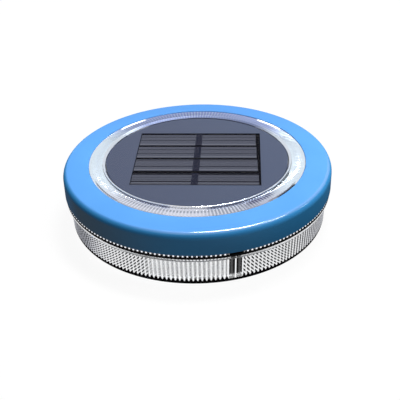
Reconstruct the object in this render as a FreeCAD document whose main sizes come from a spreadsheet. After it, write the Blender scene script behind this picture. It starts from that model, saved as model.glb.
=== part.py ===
import FreeCAD, Part
import math
import os
import re

import Sketcher
from FreeCAD import Placement, Rotation, Vector

# A floating solar pool light, drawn in millimetres. Z points up and the origin is under the centre,
# on the plane that the foot ring stands on. The solar strips run along X, the power button lies
# towards +Y on the underside.

doc = FreeCAD.newDocument("floating_pool_light")
sheet = doc.addObject("Spreadsheet::Sheet", "dims")

SIZES = {
    # Float ring: the blue bumper, an L section turned round the cover
    "ring_radius": 76.0,
    "ring_hole_radius": 61.4,
    "ring_height": 13.8,
    "ring_fall": 1.0,
    "ring_wall": 2.0,
    "ring_plate": 1.9,
    "ring_shoulder": 2.2,
    "ring_shoulder_fall": 1.48,
    "ring_inner_slope": 2.1,
    "ring_outer_round": 4.0,
    "ring_edge_round": 1.6,
    "ring_hole_round": 0.7,
    "ring_gap": 0.1,
    # Foot ring: black rubber under the rim of the bowl's floor
    "foot_lip": 0.7,
    "foot_inset": 0.3,
    "foot_width": 0.9,
    # Lens bowl: clear wall and floor, with a raised seat in its middle for the base plate
    "bowl_draft": 0.8,
    "bowl_wall": 1.9,
    "bowl_height": 16.4,
    "bowl_flange_step": 0.3,
    "bowl_flange_reach": 1.5,
    "bowl_flange": 1.6,
    "bowl_floor": 1.8,
    "base_socket_gap": 0.3,
    # Gasket between the bowl and the cover
    "gasket": 1.1,
    "gasket_bulge": 0.2,
    "gasket_width": 3.2,
    # Top cover: clear, with a recess for the solar panel
    "cover_height": 16.1,
    "cover_flange_step": 0.3,
    "cover_flange": 1.3,
    "cover_wall": 1.8,
    "cover_skin": 1.6,
    "cover_fit_gap": 0.4,
    "cover_edge_gap": 0.2,
    "recess_radius": 51.8,
    "recess_depth": 3.0,
    "recess_lip": 1.6,
    "recess_lip_round": 0.7,
    "annulus_drop": 1.9,
    "wire_hole_radius": 4.0,
    "bead": 0.3,
    "bead_clearance": 0.05,
    # Solar panel laminate
    "panel_gap": 0.4,
    "adhesive": 0.3,
    "adhesive_width": 8.0,
    "backing": 1.2,
    "strip_length": 70.6,
    "strip_pitch": 15.0,
    "strip_shift": 0.7,
    "strip_gap": 1.0,
    "strip": 0.25,
    "ribbon_width": 3.8,
    "ribbon": 0.12,
    "resin": 0.9,
    # Base plate: dark, closes the bowl's floor and carries everything inside
    "base_radius": 50.0,
    "base_ledge": 4.0,
    "base_level": 0.5,
    "base_plate": 1.7,
    "base_round": 0.6,
    "spigot_gap": 0.4,
    "spigot_wall": 1.8,
    "spigot_height": 2.6,
    "island_length": 70.0,
    "island_width": 32.0,
    "island_height": 4.1,
    "island_corner": 5.0,
    "well_wall": 1.6,
    "well_side_gap": 1.0,
    "well_height": 19.8,
    # Seal between the base plate and the bowl's floor
    "base_seal": 0.4,
    "base_seal_inset": 0.6,
    "base_seal_width": 2.8,
    # Housing screws, their posts and bosses, and the plugs over their heads
    "post_x": 19.1,
    "post_y": 19.1,
    "post_radius": 4.2,
    "post_height": 18.3,
    "post_gap": 0.2,
    "head_bore_radius": 3.2,
    "head_bore_depth": 9.5,
    "shank_clearance": 0.3,
    "boss_radius": 3.4,
    "screw_radius": 1.4,
    "screw_length": 16.0,
    "screw_head_radius": 2.75,
    "screw_head": 2.2,
    "thread_clearance": 0.05,
    "tip_room": 1.0,
    "plug": 2.4,
    "plug_clearance": 0.02,
    # Cross recess in every screw head, as shares of the head's radius
    "cross_span": 0.6,
    "cross_arm": 0.16,
    "cross_depth": 0.35,
    # Battery and its contacts
    "battery_radius": 7.1,
    "battery_can": 49.2,
    "nub_radius": 2.7,
    "nub": 1.3,
    "wrap": 0.12,
    "cradle_gap": 0.05,
    "cradle_x": 15.0,
    "cradle_width": 12.0,
    "cradle": 1.6,
    "spring_room": 2.7,
    "spring_wire": 0.35,
    "spring_radius": 3.6,
    "spring_turns": 3.0,
    "contact": 0.3,
    "contact_width": 11.0,
    "contact_height": 13.0,
    "tab_width": 4.0,
    "tab_rise": 2.2,
    "slot_gap": 0.1,
    # Battery door, its gasket and screws
    "door_length": 66.4,
    "door_width": 28.8,
    "door": 1.5,
    "door_fit_gap": 0.3,
    "door_corner": 4.0,
    "door_screw_inset": 3.0,
    "door_screw_radius": 1.2,
    "door_screw_length": 6.5,
    "door_head_radius": 2.2,
    "door_head": 0.9,
    "door_bore_clearance": 0.2,
    "door_post_radius": 2.7,
    "door_post_height": 9.0,
    "door_gasket": 0.6,
    "door_gasket_length": 59.0,
    "door_gasket_width": 22.4,
    "door_gasket_band": 2.0,
    "door_gasket_corner": 5.0,
    # Ballast and reflector
    "ballast_island_gap": 0.65,
    "ballast_clearance": 0.3,
    "ballast": 2.2,
    "reflector_ledge": 2.5,
    "reflector_top_radius": 36.0,
    "reflector_hole_radius": 31.0,
    "reflector_skin": 1.2,
    "reflector_gap": 0.1,
    # Circuit board and what it carries
    "board_radius": 49.5,
    "board": 1.6,
    "board_drop": 4.1,
    "board_screw_ring": 40.0,
    "board_post_radius": 3.0,
    "boss_clearance": 0.5,
    "small_screw_radius": 1.0,
    "small_screw_length": 5.0,
    "small_head_radius": 2.0,
    "small_head": 1.4,
    "small_bore_clearance": 0.2,
    "led_ring_radius": 46.0,
    "led_radius": 2.5,
    "led_rim": 0.4,
    "led_rim_height": 0.9,
    "led_body": 6.1,
    "led_stand": 1.0,
    "lead_side": 0.5,
    "lead_pitch": 2.54,
    "lead_tail": 0.9,
    "lead_hole_clearance": 0.12,
    "chip_length": 5.0,
    "chip_width": 4.0,
    "chip_height": 1.6,
    "chip_x": -12.0,
    "chip_y": 8.0,
    "inductor_radius": 3.0,
    "inductor_height": 3.2,
    "inductor_flange": 0.6,
    "inductor_waist": 2.0,
    "inductor_x": -12.0,
    "inductor_y": -8.0,
    "capacitor_radius": 2.5,
    "capacitor_height": 3.6,
    "capacitor_round": 0.4,
    "capacitor_x": 12.0,
    "capacitor_y": 8.0,
    "resistor_length": 3.2,
    "resistor_width": 1.6,
    "resistor_height": 0.6,
    "resistor_pitch": 4.0,
    "resistor_x": 12.0,
    "resistor_y": -8.0,
    # Power button, its seal and holder
    "button_y": 25.0,
    "button_radius": 4.6,
    "button_recess": 0.4,
    "button_clearance": 0.1,
    "button_travel": 1.5,
    "button_round": 0.8,
    "collar_radius": 5.8,
    "collar": 1.0,
    "seal_radius": 6.6,
    "seal": 0.8,
    "seal_clearance": 0.05,
    "holder_bore_radius": 6.7,
    "holder_wall": 1.2,
    "holder_web": 1.2,
    "holder_ear_x": 10.4,
    "holder_ear_radius": 2.5,
    "travel_room": 0.3,
    # Switch: case, plunger, return spring and pins
    "switch_side": 8.0,
    "switch_height": 6.2,
    "switch_roof": 1.0,
    "switch_seat": 0.1,
    "socket_wall": 1.0,
    "socket_height": 2.5,
    "plunger_radius": 1.6,
    "plunger_foot_gap": 0.05,
    "plunger_length": 4.2,
    "plunger_clearance": 0.1,
    "switch_spring_radius": 1.1,
    "switch_spring_wire": 0.25,
    "switch_spring_turns": 3.5,
    "pin_side": 0.6,
    "pin_pitch": 4.0,
    "pin_rise": 2.2,
    # Lock clips between the bowl and the cover
    "clip_angle": -71.4,
    "clip_width": 4.6,
    "clip_broad_leg": 2.0,
    "clip_leg_gap": 1.0,
    "clip": 1.3,
    "clip_foot": 4.0,
    "clip_foot_height": 1.6,
    "clip_rise": 18.9,
    "clip_head": 1.6,
    "clip_bar": 3.2,
    "clip_barb": 0.6,
    "clip_clearance": 0.3,
    # Wires
    "wire_radius": 0.6,
    "wire_bend": 1.8,
    "wire_hole_clearance": 0.1,
    "wire_spacing": 3.0,
    "wire_run": 8.0,
    "wire_tail": 0.9,
}
LED_COUNT = 6
STRIP_COUNT = 4
CLIP_COUNT = 3
RESISTOR_COUNT = 2

for row, (alias, number) in enumerate(SIZES.items(), start=1):
    sheet.set(f"A{row}", alias)
    sheet.set(f"B{row}", str(number))
    sheet.setAlias(f"B{row}", alias)
doc.recompute()

# Levels, radii and places that follow from the sizes, as expressions in the sheet's names
BASE_TOP = "(base_level + base_plate)"
FLOOR_BASE = f"({BASE_TOP} + base_seal)"
FLOOR_TOP = f"({FLOOR_BASE} + bowl_floor)"
RIM_TOP = "(foot_lip + bowl_floor)"
BOWL_TOP = "(foot_lip + bowl_height)"
BOWL_FLANGE_BASE = f"({BOWL_TOP} - bowl_flange)"
COVER_FLANGE_RADIUS = "(ring_radius - cover_flange_step)"
BOWL_FLANGE_RADIUS = f"({COVER_FLANGE_RADIUS} - bowl_flange_step)"
BOWL_RADIUS = f"({BOWL_FLANGE_RADIUS} - bowl_flange_reach)"
BOWL_FOOT_RADIUS = f"({BOWL_RADIUS} - bowl_draft)"
BOWL_INNER = f"({BOWL_FOOT_RADIUS} - bowl_wall)"
SOCKET_RADIUS = "(base_radius + base_socket_gap)"
BOWL_HOLE_RADIUS = "(base_radius - base_ledge)"
SPIGOT_RADIUS = f"({BOWL_HOLE_RADIUS} - spigot_gap)"
ISLAND_CORNER_X = "(island_length / 2 - island_corner)"
ISLAND_CORNER_Y = "(island_width / 2 - island_corner)"
ISLAND_REACH = f"(sqrt({ISLAND_CORNER_X} ^ 2 + {ISLAND_CORNER_Y} ^ 2) + island_corner)"
REFLECTOR_FOOT_RADIUS = f"({BOWL_HOLE_RADIUS} + reflector_ledge)"
COVER_BASE = f"({BOWL_TOP} + gasket)"
COVER_FLANGE_TOP = f"({COVER_BASE} + cover_flange)"
COVER_TOP = f"({COVER_BASE} + cover_height)"
COVER_RADIUS = "(ring_radius - ring_wall - cover_fit_gap)"
COVER_INNER = f"({COVER_RADIUS} - cover_wall)"
RECESS_FLOOR = f"({COVER_TOP} - recess_depth)"
RECESS_UNDER = f"({RECESS_FLOOR} - cover_skin)"
ANNULUS = f"({COVER_TOP} - annulus_drop)"
ANNULUS_RADIUS = "(ring_hole_radius - cover_edge_gap)"
RING_BASE = f"({COVER_FLANGE_TOP} + ring_gap)"
RING_TOP = f"({RING_BASE} + ring_height)"
SHOULDER = f"({RING_TOP} - ring_plate - cover_edge_gap)"
BEAD_LEVEL = f"({COVER_FLANGE_TOP} + ring_height / 2)"
PANEL_RADIUS = "(recess_radius - panel_gap)"
BACKING_BASE = f"({RECESS_FLOOR} + adhesive)"
STRIP_BASE = f"({BACKING_BASE} + backing)"
SEAT = "(base_level + door + door_gasket)"
DOOR_TOP = "(base_level + door)"
POST_TOP = "(base_level + post_height)"
HEAD_SEAT = "(base_level + head_bore_depth)"
BOSS_BASE = f"({POST_TOP} + post_gap)"
WELL_TOP = "(base_level + well_height)"
WELL_ROOF = f"({WELL_TOP} - well_wall)"
BATTERY_BORE = "(battery_radius + wrap)"
BATTERY_ROOM = "(battery_can + nub + spring_room + 2 * contact)"
BATTERY_AXIS = f"(({SEAT} + {WELL_ROOF}) / 2)"
WELL_WIDTH = f"(2 * {BATTERY_BORE} + 2 * well_side_gap)"
BOARD_TOP = f"({RECESS_UNDER} - board_drop)"
BOARD_BASE = f"({BOARD_TOP} - board)"
TAB_TOP = f"({WELL_TOP} + tab_rise)"
SEAL_TOP = f"({BASE_TOP} + seal)"
COLLAR_BASE = f"({SEAL_TOP} + seal_clearance)"
COLLAR_TOP = f"({COLLAR_BASE} + collar)"
WEB_BASE = f"({COLLAR_TOP} + button_travel + travel_room)"
WEB_TOP = f"({WEB_BASE} + holder_web)"
SWITCH_TOP = f"({WEB_TOP} + switch_height)"
PLUNGER_BASE = f"({COLLAR_TOP} + plunger_foot_gap)"
PLUNGER_TOP = f"({PLUNGER_BASE} + plunger_length)"
CLIP_FACE = f"({BOWL_INNER} - clip_clearance)"
CLIP_TOP = f"({RIM_TOP} + clip_rise)"


def four_places(x, y):
    """The four corners of a rectangle centred on the origin, from half its sides."""
    return [(f"{sx}({x})", f"{sy}({y})") for sx in ("", "-") for sy in ("", "-")]


def on_ring(radius, angles):
    return [(f"({radius}) * cos({angle})", f"({radius}) * sin({angle})") for angle in angles]


POSTS = four_places("post_x", "post_y")
DOOR_SCREWS = four_places("door_length / 2 - door_screw_inset", "door_width / 2 - door_screw_inset")
BOARD_SCREWS = on_ring("board_screw_ring", (30, 150, 210, 330))
HOLDER_SCREWS = [("holder_ear_x", "button_y"), ("-holder_ear_x", "button_y")]
LED_ANGLES = [360 * i / LED_COUNT for i in range(LED_COUNT)]
LEDS = on_ring("led_ring_radius", LED_ANGLES)
CLIP_ANGLES = [f"(clip_angle + {360 // CLIP_COUNT * i})" for i in range(CLIP_COUNT)]
STRIP_PLACES = [f"({i - (STRIP_COUNT - 1) / 2}) * strip_pitch" for i in range(STRIP_COUNT)]


def value(text):
    """The number that an expression in the sheet's names comes to."""
    found = sheet.evalExpression(text)
    return float(getattr(found, "Value", found))


def bound(text):
    """An expression in the sheet's names, written for use from another object."""
    return re.sub(r"\b[a-z]\w*\b(?!\()", r"dims.\g<0>", text)


def origin_plane(body, role):
    return [part for part in body.Origin.OriginFeatures if part.Role == role][0]


def new_sketch(body, label, role, level="0"):
    """A sketch on one of the body's own origin planes, raised along the plane's normal."""
    sketch = body.newObject("Sketcher::SketchObject", label)
    sketch.AttachmentSupport = [(origin_plane(body, role), "")]
    sketch.MapMode = "FlatFace"
    sketch.setExpression("AttachmentOffset.Base.z", bound(level))
    return sketch


def pin(sketch, geometry, point, x, y):
    """Ties a point of the sketch to the sheet by its distances from the origin."""
    for kind, axis, text in (("DistanceX", -2, x), ("DistanceY", -1, y)):
        if text == "0":
            sketch.addConstraint(Sketcher.Constraint("PointOnObject", geometry, point, axis))
            continue
        number = sketch.addConstraint(
            Sketcher.Constraint(kind, -1, 1, geometry, point, value(text))
        )
        sketch.setExpression(f"Constraints[{number}]", bound(text))


def draw_outline(sketch, corners):
    """A closed outline of straight lines through corners, each a pair of expressions."""
    points = [Vector(value(x), value(y), 0) for x, y in corners]
    first = sketch.GeometryCount
    count = len(points)
    for i in range(count):
        sketch.addGeometry(Part.LineSegment(points[i], points[(i + 1) % count]))
    for i in range(count):
        following = first + (i + 1) % count
        sketch.addConstraint(Sketcher.Constraint("Coincident", first + i, 2, following, 1))
        pin(sketch, first + i, 1, *corners[i])


def draw_rectangle(sketch, length, width, x="0", y="0"):
    """A rectangle centred on a point, its sides along the axes."""
    left, right = f"({x}) - ({length}) / 2", f"({x}) + ({length}) / 2"
    near, far = f"({y}) - ({width}) / 2", f"({y}) + ({width}) / 2"
    draw_outline(sketch, [(left, near), (right, near), (right, far), (left, far)])


def draw_rounded(sketch, length, width, radius):
    """A centred rectangle with round corners, its sides along the axes."""
    out_x, out_y = f"({length}) / 2", f"({width}) / 2"
    in_x, in_y = f"({out_x} - ({radius}))", f"({out_y} - ({radius}))"
    sides = [
        ((f"-{in_x}", f"-{out_y}"), (in_x, f"-{out_y}")),
        ((out_x, f"-{in_y}"), (out_x, in_y)),
        ((in_x, out_y), (f"-{in_x}", out_y)),
        ((f"-{out_x}", in_y), (f"-{out_x}", f"-{in_y}")),
    ]
    centres = [(in_x, f"-{in_y}"), (in_x, in_y), (f"-{in_x}", in_y), (f"-{in_x}", f"-{in_y}")]
    lines, arcs = [], []
    for i, (start, end) in enumerate(sides):
        ends = [Vector(value(x), value(y), 0) for x, y in (start, end)]
        lines.append(sketch.addGeometry(Part.LineSegment(*ends)))
        centre = Vector(value(centres[i][0]), value(centres[i][1]), 0)
        circle = Part.Circle(centre, Vector(0, 0, 1), value(radius))
        from_angle = math.pi / 2 * (i - 1)
        arcs.append(sketch.addGeometry(Part.ArcOfCircle(circle, from_angle, from_angle + math.pi / 2)))
    for i, (start, end) in enumerate(sides):
        pin(sketch, lines[i], 1, *start)
        pin(sketch, lines[i], 2, *end)
        sketch.addConstraint(Sketcher.Constraint("Coincident", arcs[i], 1, lines[i], 2))
        sketch.addConstraint(Sketcher.Constraint("Coincident", arcs[i], 2, lines[(i + 1) % 4], 1))
        number = sketch.addConstraint(Sketcher.Constraint("Radius", arcs[i], value(radius)))
        sketch.setExpression(f"Constraints[{number}]", bound(radius))


def draw_turned(sketch, near, far, left, right, angle):
    """A rectangle between two distances from Z, turned round Z by an angle."""
    corners = [(near, left), (far, left), (far, right), (near, right)]
    draw_outline(sketch, [
        (f"({out}) * cos({angle}) - ({side}) * sin({angle})",
         f"({out}) * sin({angle}) + ({side}) * cos({angle})")
        for out, side in corners
    ])


def draw_cross(sketch, head_radius, x, y):
    """The outline of a cross recess, centred on a screw's head."""
    span = f"({head_radius}) * cross_span"
    arm = f"({head_radius}) * cross_arm"
    turns = [(span, arm), (arm, arm), (arm, span)]
    signs = [("", ""), ("-", ""), ("-", "-"), ("", "-")]
    corners = []
    for i, (sx, sy) in enumerate(signs):
        quarter = turns if i % 2 == 0 else turns[::-1]
        corners += [(f"({x}) + {sx}1 * ({a})", f"({y}) + {sy}1 * ({b})") for a, b in quarter]
    draw_outline(sketch, corners)


def draw_circle(sketch, radius, x="0", y="0"):
    number = sketch.addGeometry(
        Part.Circle(Vector(value(x), value(y), 0), Vector(0, 0, 1), value(radius))
    )
    pin(sketch, number, 3, x, y)
    constraint = sketch.addConstraint(Sketcher.Constraint("Radius", number, value(radius)))
    sketch.setExpression(f"Constraints[{constraint}]", bound(radius))


def circles(radius, places):
    """A drawing of equal circles, for pad and pocket."""
    def draw(sketch):
        for x, y in places:
            draw_circle(sketch, radius, x, y)
    return draw


def new_body(label):
    body = doc.addObject("PartDesign::Body", label)
    body.Label = label
    body.AllowCompound = True
    return body


def turn(body, label, corners):
    """A solid turned about Z from an outline of (radius, height) corners."""
    sketch = new_sketch(body, label + "_outline", "XZ_Plane")
    draw_outline(sketch, corners)
    feature = body.newObject("PartDesign::Revolution", label + "_turn")
    feature.Profile = sketch
    feature.ReferenceAxis = (sketch, ["V_Axis"])
    feature.Angle = 360
    doc.recompute()


def pad(body, label, draw, level, height):
    """Adds material from one level up, over the shapes that draw puts in a sketch."""
    sketch = new_sketch(body, label + "_shape", "XY_Plane", level)
    draw(sketch)
    feature = body.newObject("PartDesign::Pad", label)
    feature.Profile = sketch
    feature.setExpression("Length", bound(height))
    doc.recompute()


def pocket(body, label, draw, level, height):
    """Takes material away from one level up, and checks that some went."""
    before = body.Shape.Volume
    sketch = new_sketch(body, label + "_shape", "XY_Plane", level)
    draw(sketch)
    feature = body.newObject("PartDesign::Pocket", label)
    feature.Profile = sketch
    feature.Reversed = True
    feature.setExpression("Length", bound(height))
    doc.recompute()
    if body.Shape.Volume >= before:
        raise RuntimeError(f"{label} cuts nothing")


def round_edges(body, label, radius, chosen):
    """Fillets the edges of the body's tip for which chosen(edge) is true."""
    base = body.Tip
    names = [f"Edge{i}" for i, edge in enumerate(base.Shape.Edges, start=1) if chosen(edge)]
    feature = body.newObject("PartDesign::Fillet", label)
    feature.Base = (base, names)
    feature.setExpression("Radius", bound(radius))
    doc.recompute()


def rim(radius, level):
    """Chooses the circular edges of one radius at one height."""
    def chosen(edge):
        curve = edge.Curve
        return (
            isinstance(curve, Part.Circle)
            and math.isclose(curve.Radius, value(radius), abs_tol=1e-4)
            and math.isclose(curve.Center.z, value(level), abs_tol=1e-4)
        )
    return chosen


def turned(label, corners):
    body = new_body(label)
    turn(body, label, corners)
    return body


def washer(label, inner, outer, level, height):
    """A flat ring: a rectangle turned about Z."""
    top = f"{level} + {height}"
    return turned(label, [(inner, level), (outer, level), (outer, top), (inner, top)])


def block(label, length, width, height, x="0", y="0", level="0"):
    """A box centred on (x, y), standing on a level."""
    box = doc.addObject("Part::Box", label)
    box.Label = label
    for name, text in (("Length", length), ("Width", width), ("Height", height)):
        box.setExpression(name, bound(text))
    box.setExpression("Placement.Base.x", bound(f"({x}) - ({length}) / 2"))
    box.setExpression("Placement.Base.y", bound(f"({y}) - ({width}) / 2"))
    box.setExpression("Placement.Base.z", bound(level))
    return box


def shaped(label, shapes):
    """A sub-part whose shape is worked out here: a sweep along a helix or a bent wire."""
    feature = doc.addObject("Part::Feature", label)
    feature.Label = label
    feature.Shape = Part.makeCompound(shapes) if len(shapes) > 1 else shapes[0]


def screws(label, places, under_head, up, head_radius, head, shank_radius, length):
    """Cross-head screws standing along Z; up says whether their shanks point upwards."""
    body = new_body(label)
    head_base = f"({under_head} - {head})" if up else f"({under_head})"
    shank_base = f"({under_head})" if up else f"({under_head} - {length})"
    recess = f"({head}) * cross_depth"
    recess_base = head_base if up else f"({head_base} + {head} - {recess})"
    pad(body, label + "_heads", circles(head_radius, places), head_base, head)
    pad(body, label + "_shanks", circles(shank_radius, places), shank_base, length)

    def draw_crosses(sketch):
        for x, y in places:
            draw_cross(sketch, head_radius, x, y)

    pocket(body, label + "_crosses", draw_crosses, recess_base, recess)


def helix_solid(radius, wire, length, turns):
    """A coil of round wire standing on the origin, its wire's outer faces length apart."""
    rise = length - 2 * wire
    path = Part.makeHelix(rise / turns, rise, radius)
    section = Part.Wire([Part.makeCircle(wire, Vector(radius, 0, 0), Vector(0, 1, 0))])
    coil = Part.Wire(path.Edges).makePipeShell([section], True, True)
    coil.translate(Vector(0, 0, wire))
    return coil


def wire_solid(points):
    """A round wire through points, its straight runs joined by tangent arcs."""
    bend = value("wire_bend")
    edges = []
    start = points[0]
    for before, corner, after in zip(points, points[1:], points[2:]):
        back = (before - corner).normalize()
        onward = (after - corner).normalize()
        turned_by = math.pi - back.getAngle(onward)
        setback = bend * math.tan(turned_by / 2)
        middle = (back + onward).normalize()
        reach = bend / math.cos(turned_by / 2) - bend
        enter, leave = corner + back * setback, corner + onward * setback
        edges.append(Part.LineSegment(start, enter).toShape())
        edges.append(Part.Arc(enter, corner + middle * reach, leave).toShape())
        start = leave
    edges.append(Part.LineSegment(start, points[-1]).toShape())
    direction = points[1] - points[0]
    section = Part.Wire([Part.makeCircle(value("wire_radius"), points[0], direction)])
    return Part.Wire(edges).makePipeShell([section], True, False)


def place(x, y, level):
    return Vector(value(x), value(y), value(level))


# ---- Float ring

def make_float_ring():
    """An L section with a sloped shoulder and a snap groove inside for the cover's bead."""
    inner = "ring_radius - ring_wall"
    edge, edge_top = "ring_radius - ring_shoulder", f"{RING_TOP} - ring_fall"
    corner_top = f"{edge_top} - ring_shoulder_fall"
    groove = "bead + bead_clearance"
    body = turned("float_ring", [
        ("ring_radius", RING_BASE),
        ("ring_radius", corner_top),
        (edge, edge_top),
        ("ring_hole_radius", RING_TOP),
        ("ring_hole_radius", f"{RING_TOP} - ring_plate"),
        (f"{inner} - ring_inner_slope", f"{edge_top} - ring_plate"),
        (inner, f"{edge_top} - ring_plate - ring_inner_slope"),
        (inner, f"{BEAD_LEVEL} + {groove}"),
        (f"{inner} + {groove}", BEAD_LEVEL),
        (inner, f"{BEAD_LEVEL} - ({groove})"),
        (inner, RING_BASE),
    ])
    round_edges(body, "ring_outer_round", "ring_outer_round", rim("ring_radius", corner_top))
    round_edges(body, "ring_edge_round", "ring_edge_round", rim(edge, edge_top))
    round_edges(body, "ring_hole_round", "ring_hole_round", rim("ring_hole_radius", RING_TOP))


# ---- Top cover

def make_top_cover():
    """Panel recess and lip, annulus, shoulder under the ring, wall with its bead, and flange."""
    lip = "(recess_radius + recess_lip)"
    crest = f"{COVER_RADIUS} + cover_fit_gap + bead - bead_clearance"
    step = f"({ANNULUS_RADIUS} - cover_skin)"
    body = turned("top_cover", [
        ("wire_hole_radius", RECESS_UNDER),
        ("wire_hole_radius", RECESS_FLOOR),
        ("recess_radius", RECESS_FLOOR),
        ("recess_radius", COVER_TOP),
        (lip, COVER_TOP),
        (lip, ANNULUS),
        (ANNULUS_RADIUS, ANNULUS),
        (ANNULUS_RADIUS, SHOULDER),
        (COVER_INNER, f"{SHOULDER} - ring_fall"),
        (COVER_RADIUS, f"{SHOULDER} - ring_fall - cover_wall"),
        (COVER_RADIUS, f"{BEAD_LEVEL} + bead + cover_fit_gap"),
        (crest, BEAD_LEVEL),
        (COVER_RADIUS, f"{BEAD_LEVEL} - bead - cover_fit_gap"),
        (COVER_RADIUS, COVER_FLANGE_TOP),
        (COVER_FLANGE_RADIUS, COVER_FLANGE_TOP),
        (COVER_FLANGE_RADIUS, COVER_BASE),
        (COVER_INNER, COVER_BASE),
        (COVER_INNER, f"{SHOULDER} - ring_fall - 2 * cover_skin"),
        (step, f"{SHOULDER} - cover_skin"),
        (step, f"{ANNULUS} - cover_skin"),
        (lip, f"{ANNULUS} - cover_skin"),
        (lip, RECESS_UNDER),
    ])
    round_edges(body, "recess_lip_round", "recess_lip_round",
                lambda edge: rim(lip, COVER_TOP)(edge) or rim("recess_radius", COVER_TOP)(edge))
    pad(body, "screw_bosses", circles("boss_radius", POSTS),
        BOSS_BASE, f"{RECESS_UNDER} - {BOSS_BASE}")
    pocket(body, "screw_pilots", circles("screw_radius + thread_clearance", POSTS),
           BOSS_BASE, f"{HEAD_SEAT} + screw_length + tip_room - {BOSS_BASE}")
    pad(body, "board_posts", circles("board_post_radius", BOARD_SCREWS),
        BOARD_TOP, f"{RECESS_UNDER} - {BOARD_TOP}")
    pocket(body, "board_pilots", circles("small_screw_radius + thread_clearance", BOARD_SCREWS),
           BOARD_TOP, f"{RECESS_UNDER} - {BOARD_TOP}")

    def draw_slots(sketch):
        side = "clip_width / 2 + clip_clearance"
        for angle in CLIP_ANGLES:
            draw_turned(sketch, f"{COVER_INNER} - cover_skin",
                        f"{COVER_INNER} + clip_barb + clip_clearance", f"-({side})", side, angle)

    pocket(body, "clip_slots", draw_slots, f"{CLIP_TOP} - clip_head - clip_clearance",
           "clip_head + 2 * clip_clearance")


# ---- Solar panel

def make_panel():
    """Adhesive, backing disc, four cut cells in series, their ribbons, and the clear resin."""
    washer("panel_adhesive", f"{PANEL_RADIUS} - adhesive_width", PANEL_RADIUS,
           RECESS_FLOOR, "adhesive")
    backing = new_body("panel_backing")
    pad(backing, "backing_disc", circles(PANEL_RADIUS, [("0", "0")]), BACKING_BASE, "backing")

    strip_width = "(strip_pitch - strip_gap)"
    for i, y in enumerate(STRIP_PLACES, start=1):
        block(f"solar_strip_{i}", "strip_length", strip_width, "strip",
              "strip_shift", y, STRIP_BASE)

    def draw_strips(sketch):
        for y in STRIP_PLACES:
            draw_rectangle(sketch, "strip_length", strip_width, "strip_shift", y)

    def draw_ribbons(sketch):
        for y in STRIP_PLACES:
            draw_rectangle(sketch, "ribbon_width", strip_width, "0", y)

    ribbons = new_body("strip_ribbons")
    pad(ribbons, "ribbons", draw_ribbons, f"{STRIP_BASE} + strip", "ribbon")
    resin = new_body("panel_resin")
    pad(resin, "resin_disc", circles(PANEL_RADIUS, [("0", "0")]), STRIP_BASE, "resin")
    pocket(resin, "room_for_strips", draw_strips, STRIP_BASE, "strip")
    pocket(resin, "room_for_ribbons", draw_ribbons, STRIP_BASE, "strip + ribbon")


def make_panel_wires():
    """Two leads drop through the cover's hole, and turn outwards to their pads on the board."""
    middle = f"({BOARD_TOP} + wire_bend + wire_radius)"
    for label, side in (("panel_wire_red", ""), ("panel_wire_black", "-")):
        near = f"{side}(wire_spacing / 2)"
        far = f"{side}(wire_spacing / 2 + wire_run)"
        shaped(label, [wire_solid([
            place(near, "0", BACKING_BASE),
            place(near, "0", middle),
            place(far, "0", middle),
            place(far, "0", BOARD_TOP),
        ])])


# ---- Lens bowl and the rings round it

def make_lens_bowl():
    """Drafted wall, flange, and floor with a raised seat and a hole for the base plate."""
    turned("lens_bowl", [
        (BOWL_FOOT_RADIUS, "foot_lip"),
        (BOWL_RADIUS, BOWL_FLANGE_BASE),
        (BOWL_FLANGE_RADIUS, BOWL_FLANGE_BASE),
        (BOWL_FLANGE_RADIUS, BOWL_TOP),
        (f"{BOWL_RADIUS} - bowl_wall", BOWL_TOP),
        (BOWL_INNER, RIM_TOP),
        (f"{SOCKET_RADIUS} + bowl_floor", RIM_TOP),
        (f"{SOCKET_RADIUS} + bowl_floor", FLOOR_TOP),
        (BOWL_HOLE_RADIUS, FLOOR_TOP),
        (BOWL_HOLE_RADIUS, FLOOR_BASE),
        (SOCKET_RADIUS, FLOOR_BASE),
        (SOCKET_RADIUS, "foot_lip"),
    ])


def make_seals():
    """Gasket under the cover's flange, seal under the bowl's floor, and the foot ring."""
    gasket_outer = f"{BOWL_FLANGE_RADIUS} + gasket_bulge"
    washer("main_gasket", f"{gasket_outer} - gasket_width", gasket_outer, BOWL_TOP, "gasket")
    seal_outer = "base_radius - base_seal_inset"
    washer("base_seal", f"{seal_outer} - base_seal_width", seal_outer, BASE_TOP, "base_seal")
    foot_outer = f"{BOWL_FOOT_RADIUS} - foot_inset"
    washer("foot_ring", f"{foot_outer} - foot_width", foot_outer, "0", "foot_lip")


def make_lock_clips():
    """Each clip stands on the bowl's floor on two legs with feet; its barb catches the cover."""
    left, right = "-(clip_width / 2)", "clip_width / 2"
    legs = [(left, f"{left} + clip_broad_leg"), (f"{left} + clip_broad_leg + clip_leg_gap", right)]

    def bands(near, far, sides):
        def draw(sketch):
            for angle in CLIP_ANGLES:
                for side in sides:
                    draw_turned(sketch, near, far, *side, angle)
        return draw

    body = new_body("lock_clips")
    back = f"{CLIP_FACE} - clip"
    pad(body, "clip_feet", bands(f"{CLIP_FACE} - clip_foot", CLIP_FACE, legs),
        RIM_TOP, "clip_foot_height")
    pad(body, "clip_legs", bands(back, CLIP_FACE, legs), RIM_TOP, "clip_rise")
    pad(body, "clip_bars", bands(back, CLIP_FACE, [(left, right)]),
        f"{CLIP_TOP} - clip_bar", "clip_bar")
    pad(body, "clip_barbs", bands(back, f"{COVER_INNER} + clip_barb", [(left, right)]),
        f"{CLIP_TOP} - clip_head", "clip_head")


# ---- Base plate and what it carries

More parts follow.
